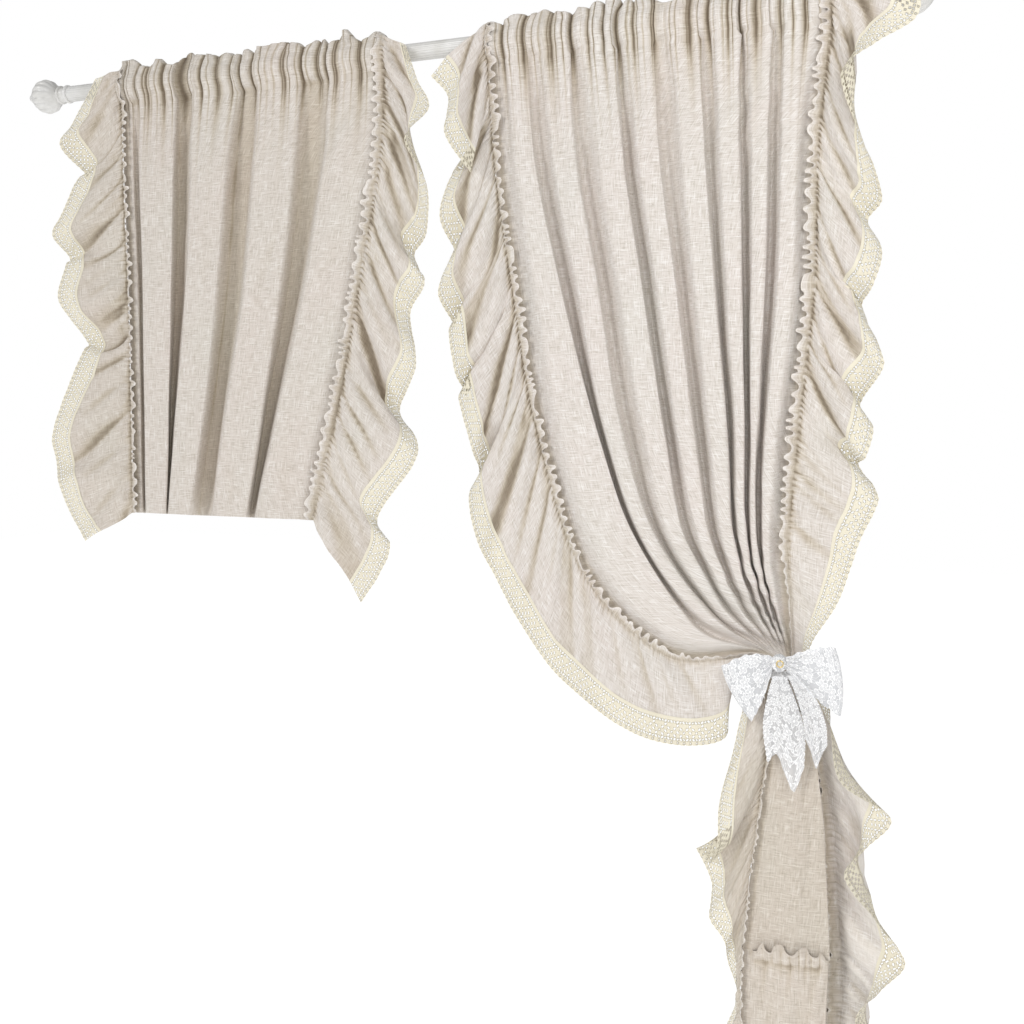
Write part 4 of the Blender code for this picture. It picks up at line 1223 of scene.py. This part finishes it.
def panel_shade(look, grid, deep, run, fall, down, across):
    """Painted shade at each point of a panel: in folds, under frills, on the tail and over the whole;
    below 0, painted light.
    """
    head = len(grid) - len(run)
    margin = from_sides(run)
    inner = ease(margin / 70)
    crease = creases(run[0], look["seed"]) * ramp(margin[0] / SIDE_FADE)
    skirt = np.maximum(look["valley"] * deep * inner, np.exp(-fall / 70) * crease)
    shade = np.concatenate([np.broadcast_to(crease, (head, len(crease))), skirt])
    on_tail = ramp(down - NECK_STATION - 0.3)
    veil = TAIL_VEIL * np.concatenate([np.zeros(head), on_tail])[:, None]
    shade = np.maximum(shade, look["folded"] * (1 - veil) * hollows(grid, 16, 4))
    # painted light in the valleys of the lower skirt, above the tail
    lower = (ramp((down - 1) / 2) * (1 - on_tail))[:, None]
    shade[head:] -= look["pale"] * deep * lower * inner
    shade = look["overall_shade"] + (1 - look["overall_shade"]) * shade
    # painted shadow on the panel under each frill's edge
    under_frill = 0.5 * np.exp(-(((margin - 11) / 9) ** 2))
    shade[head:] = np.maximum(shade[head:], under_frill)
    # painted shade on the tail's front, painted light on its lines behind
    faces_room = ramp((FRONT_LINES - across) / 0.5)
    shade = np.maximum(shade, TAIL_SHADE * veil * faces_room)
    behind = veil * (1 - faces_room)
    return shade - (shade + 1) * behind


def build_panels(linen, nets):
    for (name, look), net in zip(PANELS.items(), nets):
        down = np.linspace(0, len(net) - 1, look["rows"])
        across = np.linspace(0, net.shape[1] - 1, look["columns"])
        skirt, deep, run, fall, head = panel(net, down, across, look)
        grid = np.concatenate([head, skirt])
        shade = panel_shade(look, grid, deep, run, fall, down, across)
        up = length_along(head[::-1], 0)[::-1]
        above = np.stack((np.broadcast_to(run[0], up.shape), -up), -1)
        uv = np.concatenate([above, np.stack((run, fall), -1)])
        piece = add_piece(f"{name}_cloth", grid_mesh(name, grid, uv, shade), linen, name)


# Each side ruffle: its hem, 1 or -1 for the side it hangs on, how far along the seam the tie
# draws it in, its flat sheet in m, and its painted shade above and below the tie, painted light below 0.
RUFFLES = {
    "left_outer": (LEFT_OUTER_HEM, 1, 1, (0.125, 1.55), (0.22, 0)),
    "left_inner": (LEFT_INNER_HEM, -1, 1, (0.125, 1.55), (0.1, 0)),
    "right_inner": (RIGHT_INNER_HEM, 1, 1.2, (0.125, 2.9), (0, 0.35)),
    "right_outer": (RIGHT_OUTER_HEM, -1, 2.4, (0.125, 2.3), (0.05, -0.5)),
}


def longer(seam):
    """A seam with one more point, as far down as the bottom ruffle hangs."""
    return np.concatenate([seam, [seam[-1] - np.array((0, 0, BOTTOM_DROP))]])


def build_ruffles(linen, lace, left, right):
    seams = (left[:, 0], left[:, -1], longer(right[:, 0]), longer(right[:, -1]))
    for number, ((name, look), seam) in enumerate(zip(RUFFLES.items(), seams)):
        hem, inner, pinched, flat, (above, below) = look
        ruffle = Ruffle(seam, hem, inner, pinched, 100 + 10 * number)
        grid, uv = cloth_grid(ruffle, 1.8)
        stations = [row[0] for row in hem]
        at = np.interp(np.linspace(0, 1, len(grid)), np.linspace(0, 1, len(hem)), stations)
        # painted shade over the ruffle above and below the tie and in its creases; the frill's rows get
        # painted shade and painted highlight
        tone = (above + (below - above) * ramp(at - 6.5))[:, None]
        creased = (0.9 - 0.4 * ramp((at - 2.5) / 2))[:, None]
        shade = tone + (1 - tone) * creased * hollows(grid, 12, 3.5)
        shade[:, :FRILL_ROWS] = FRILL_SHADE
        mesh = grid_mesh(f"ruffle_{name}", grid, uv, shade)
        piece = add_piece(f"ruffle_{name}_cloth", mesh, linen, f"ruffle_{name}")
        grid, uv = lace_points(ruffle)
        mesh = lace_mesh(f"lace_{name}", grid, uv)
        piece = add_piece(f"lace_{name}_net", mesh, lace, f"lace_{name}")


def build_bottom(linen, lace, net):
    base, foot = bottom_base(net)
    lengths = length_along(base, 0)
    total = lengths[-1]
    front = np.interp(FRONT_LINES * BASE_STEPS, range(len(lengths)), lengths)

    def rows_of(s, rows):
        return np.array([bottom_points(base, foot, front, s, row) for row in rows])

    s = np.linspace(0, total, int(total / 2.2))
    grid = rows_of(s, np.concatenate([np.linspace(0, 3, 16), np.linspace(3, 5, 16)[1:]]))
    uv = np.stack(np.meshgrid(s, length_along(grid, 0)[:, len(s) // 4]), -1)
    # painted shade over the whole bottom ruffle, darker in its creases
    mesh = grid_mesh("ruffle_bottom", grid, uv, 0.3 + 0.6 * hollows(grid, 8, 3))
    piece = add_piece("ruffle_bottom_cloth", mesh, linen, "ruffle_bottom")
    s = np.linspace(0, total, 2 * round(total / LACE_CELL) + 1)
    steps = 2 * len(LACE_CHART) + 1
    grid = rows_of(s, np.linspace(5 - 0.08, 6, steps)).transpose(1, 0, 2)
    uv = np.stack(np.meshgrid(np.arange(steps) * LACE_CELL / 2, s), -1)
    mesh = lace_mesh("lace_bottom", grid, uv)
    piece = add_piece("lace_bottom_net", mesh, lace, "lace_bottom")


def sheet_of(name, function, rows, columns, size):
    """A grid mesh of function(u, w) with lengths that fit size in mm."""
    u, w = np.meshgrid(np.linspace(0, 1, rows), np.linspace(0, 1, columns), indexing="ij")
    grid = function(u.ravel(), w.ravel()).reshape(rows, columns, 3)
    uv = np.stack((u * size[0], w * size[1]), -1)
    return grid_mesh(name, grid, uv)


def build_bow(white, gold):
    def add_lace(name, function, rows, columns, size):
        mesh = sheet_of(name, function, rows, columns, size)
        return add_piece(f"{name}_lace", mesh, white, name)

    for name, *corners in LOOPS:
        piece = add_lace(name, lambda u, w: loop_points(*corners, u, w), 90, 50, (240, 100))
    for name, (levels, below, flat) in TAILS.items():
        piece = add_lace(name, lambda v, w: tail_points(levels, below, v, w), 110, 50, (190, 80))

    centre = seen(*BAND_CENTRE, NECK_DEPTH)

    def band(u, w):
        angle = 2 * math.pi * w
        pinch = 1 + 0.02 * np.sin(9 * angle)
        x, y = BAND_HALF_WIDTH * pinch * np.cos(angle), BAND_HALF_DEPTH * pinch * np.sin(angle)
        z = BAND_HEIGHT * (0.5 - u) + 1.5 * np.sin(3 * angle)
        return centre + np.stack((x, y, z), -1)

    piece = add_lace("tie_band", band, 10, 120, (16, 290))

    knot = seen(*KNOT)

    def ball(u, w):
        lift, turn = math.pi * (u - 0.5), 2 * math.pi * w
        crease = 1 + 0.10 * np.sin(7 * turn + 2 * lift) * np.cos(lift)
        x = KNOT_SIZE[0] / 2 * np.cos(lift) * np.cos(turn) * crease
        y = KNOT_SIZE[1] / 2 * np.cos(lift) * np.sin(turn) * crease
        z = KNOT_SIZE[2] / 2 * np.sin(lift)
        return knot + np.stack((x, y, z), -1)

    piece = add_lace("bow_knot", ball, 24, 48, (50, 80))

    ring_at = seen(KNOT[0] + 1, KNOT[1] - 2, KNOT[2] - KNOT_SIZE[1] / 2 - RING_GAP)

    def ring(u, w):
        turn, wire = 2 * math.pi * u, 2 * math.pi * w
        out = RING_RADIUS + RING_WIRE * np.cos(wire)
        x, y, z = out * np.cos(turn), RING_WIRE * np.sin(wire), out * np.sin(turn)
        return ring_at + np.stack((x, y, z), -1)

    mesh = sheet_of("bow_ring", ring, 49, 17, (38, 8))
    add_piece("bow_ring_gold", mesh, gold, "bow_ring")


# Studio


# The lights: where they come from, their strength and their size; the sky and the floor.
KEY_FROM = (-0.56, -1.0, 0.5)
KEY_STRENGTH = 0.98
KEY_ANGLE = math.radians(18)
FILL_AT = (2.1, -2.3, 0.4)
FILL_SIZE = 1.6
FILL_WATTS = 33
SKY = 0.38
FLOOR_HALF = 9.0
FLOOR_LEVEL = -2.15


def add_camera():
    lens = bpy.data.cameras.new("camera")
    lens.lens = CAMERA_LENS
    lens.sensor_width = SENSOR
    camera = placed("camera", lens)
    ahead = Vector((
        -math.sin(CAMERA_HEADING) * math.cos(CAMERA_PITCH),
        math.cos(CAMERA_HEADING) * math.cos(CAMERA_PITCH),
        -math.sin(CAMERA_PITCH),
    ))
    right = Vector((math.cos(CAMERA_HEADING), math.sin(CAMERA_HEADING), 0))
    turn = Matrix((right, right.cross(ahead), -ahead)).transposed().to_4x4()
    camera.matrix_world = Matrix.Translation(CAMERA_AT) @ turn
    bpy.context.scene.camera = camera


def add_sky():
    """White to the camera and dimmer as a light."""
    world = bpy.data.worlds.new("studio")
    bpy.context.scene.world = world
    world.use_nodes = True
    tree = world.node_tree
    sight = node(tree, "ShaderNodeLightPath").outputs["Is Camera Ray"]
    strength = spread(tree, sight, 0, 1, SKY, 1.0)
    feed(tree, tree.nodes["Background"], {"Color": (1, 1, 1, 1), "Strength": strength})


def add_floor():
    floor = bpy.data.meshes.new("floor")
    sides = ((-1, -1), (1, -1), (1, 1), (-1, 1))
    corners = [(x * FLOOR_HALF, y * FLOOR_HALF, FLOOR_LEVEL) for x, y in sides]
    floor.from_pydata(corners, [], [(0, 1, 2, 3)])
    material, tree, shader = new_material("pale_floor")
    feed(tree, shader, {
        "Base Color": (0.9, 0.9, 0.9, 1),
        "Roughness": 0.9,
        "Emission Color": (1, 1, 1, 1),
        "Emission Strength": 0.6,
    })
    floor.materials.append(material)
    ground = placed("floor", floor)


def add_lights():
    """A sun and a lamp, both turned to the middle of the rod."""
    for name, kind, at, settings in (
        ("key", "SUN", KEY_FROM, {"energy": KEY_STRENGTH, "angle": KEY_ANGLE}),
        ("fill", "AREA", FILL_AT, {"energy": FILL_WATTS, "size": FILL_SIZE}),
    ):
        light = bpy.data.lights.new(name, kind)
        for setting, value in settings.items():
            setattr(light, setting, value)
        lamp = placed(name, light)
        lamp.location = at
        lamp.rotation_euler = (-Vector(at)).to_track_quat("-Z", "Y").to_euler()


def main():
    bpy.context.scene.view_settings.view_transform = "Standard"
    add_camera()
    add_sky()
    add_floor()
    add_lights()
    linen, lace = linen_material(), cream_lace_material()
    white, paint, gold = white_lace_material(), paint_material(), gold_material()
    left, right = left_net(), right_net()
    build_rod(paint)
    build_panels(linen, (left, right))
    build_ruffles(linen, lace, left, right)
    build_bottom(linen, lace, right)
    build_bow(white, gold)


main()
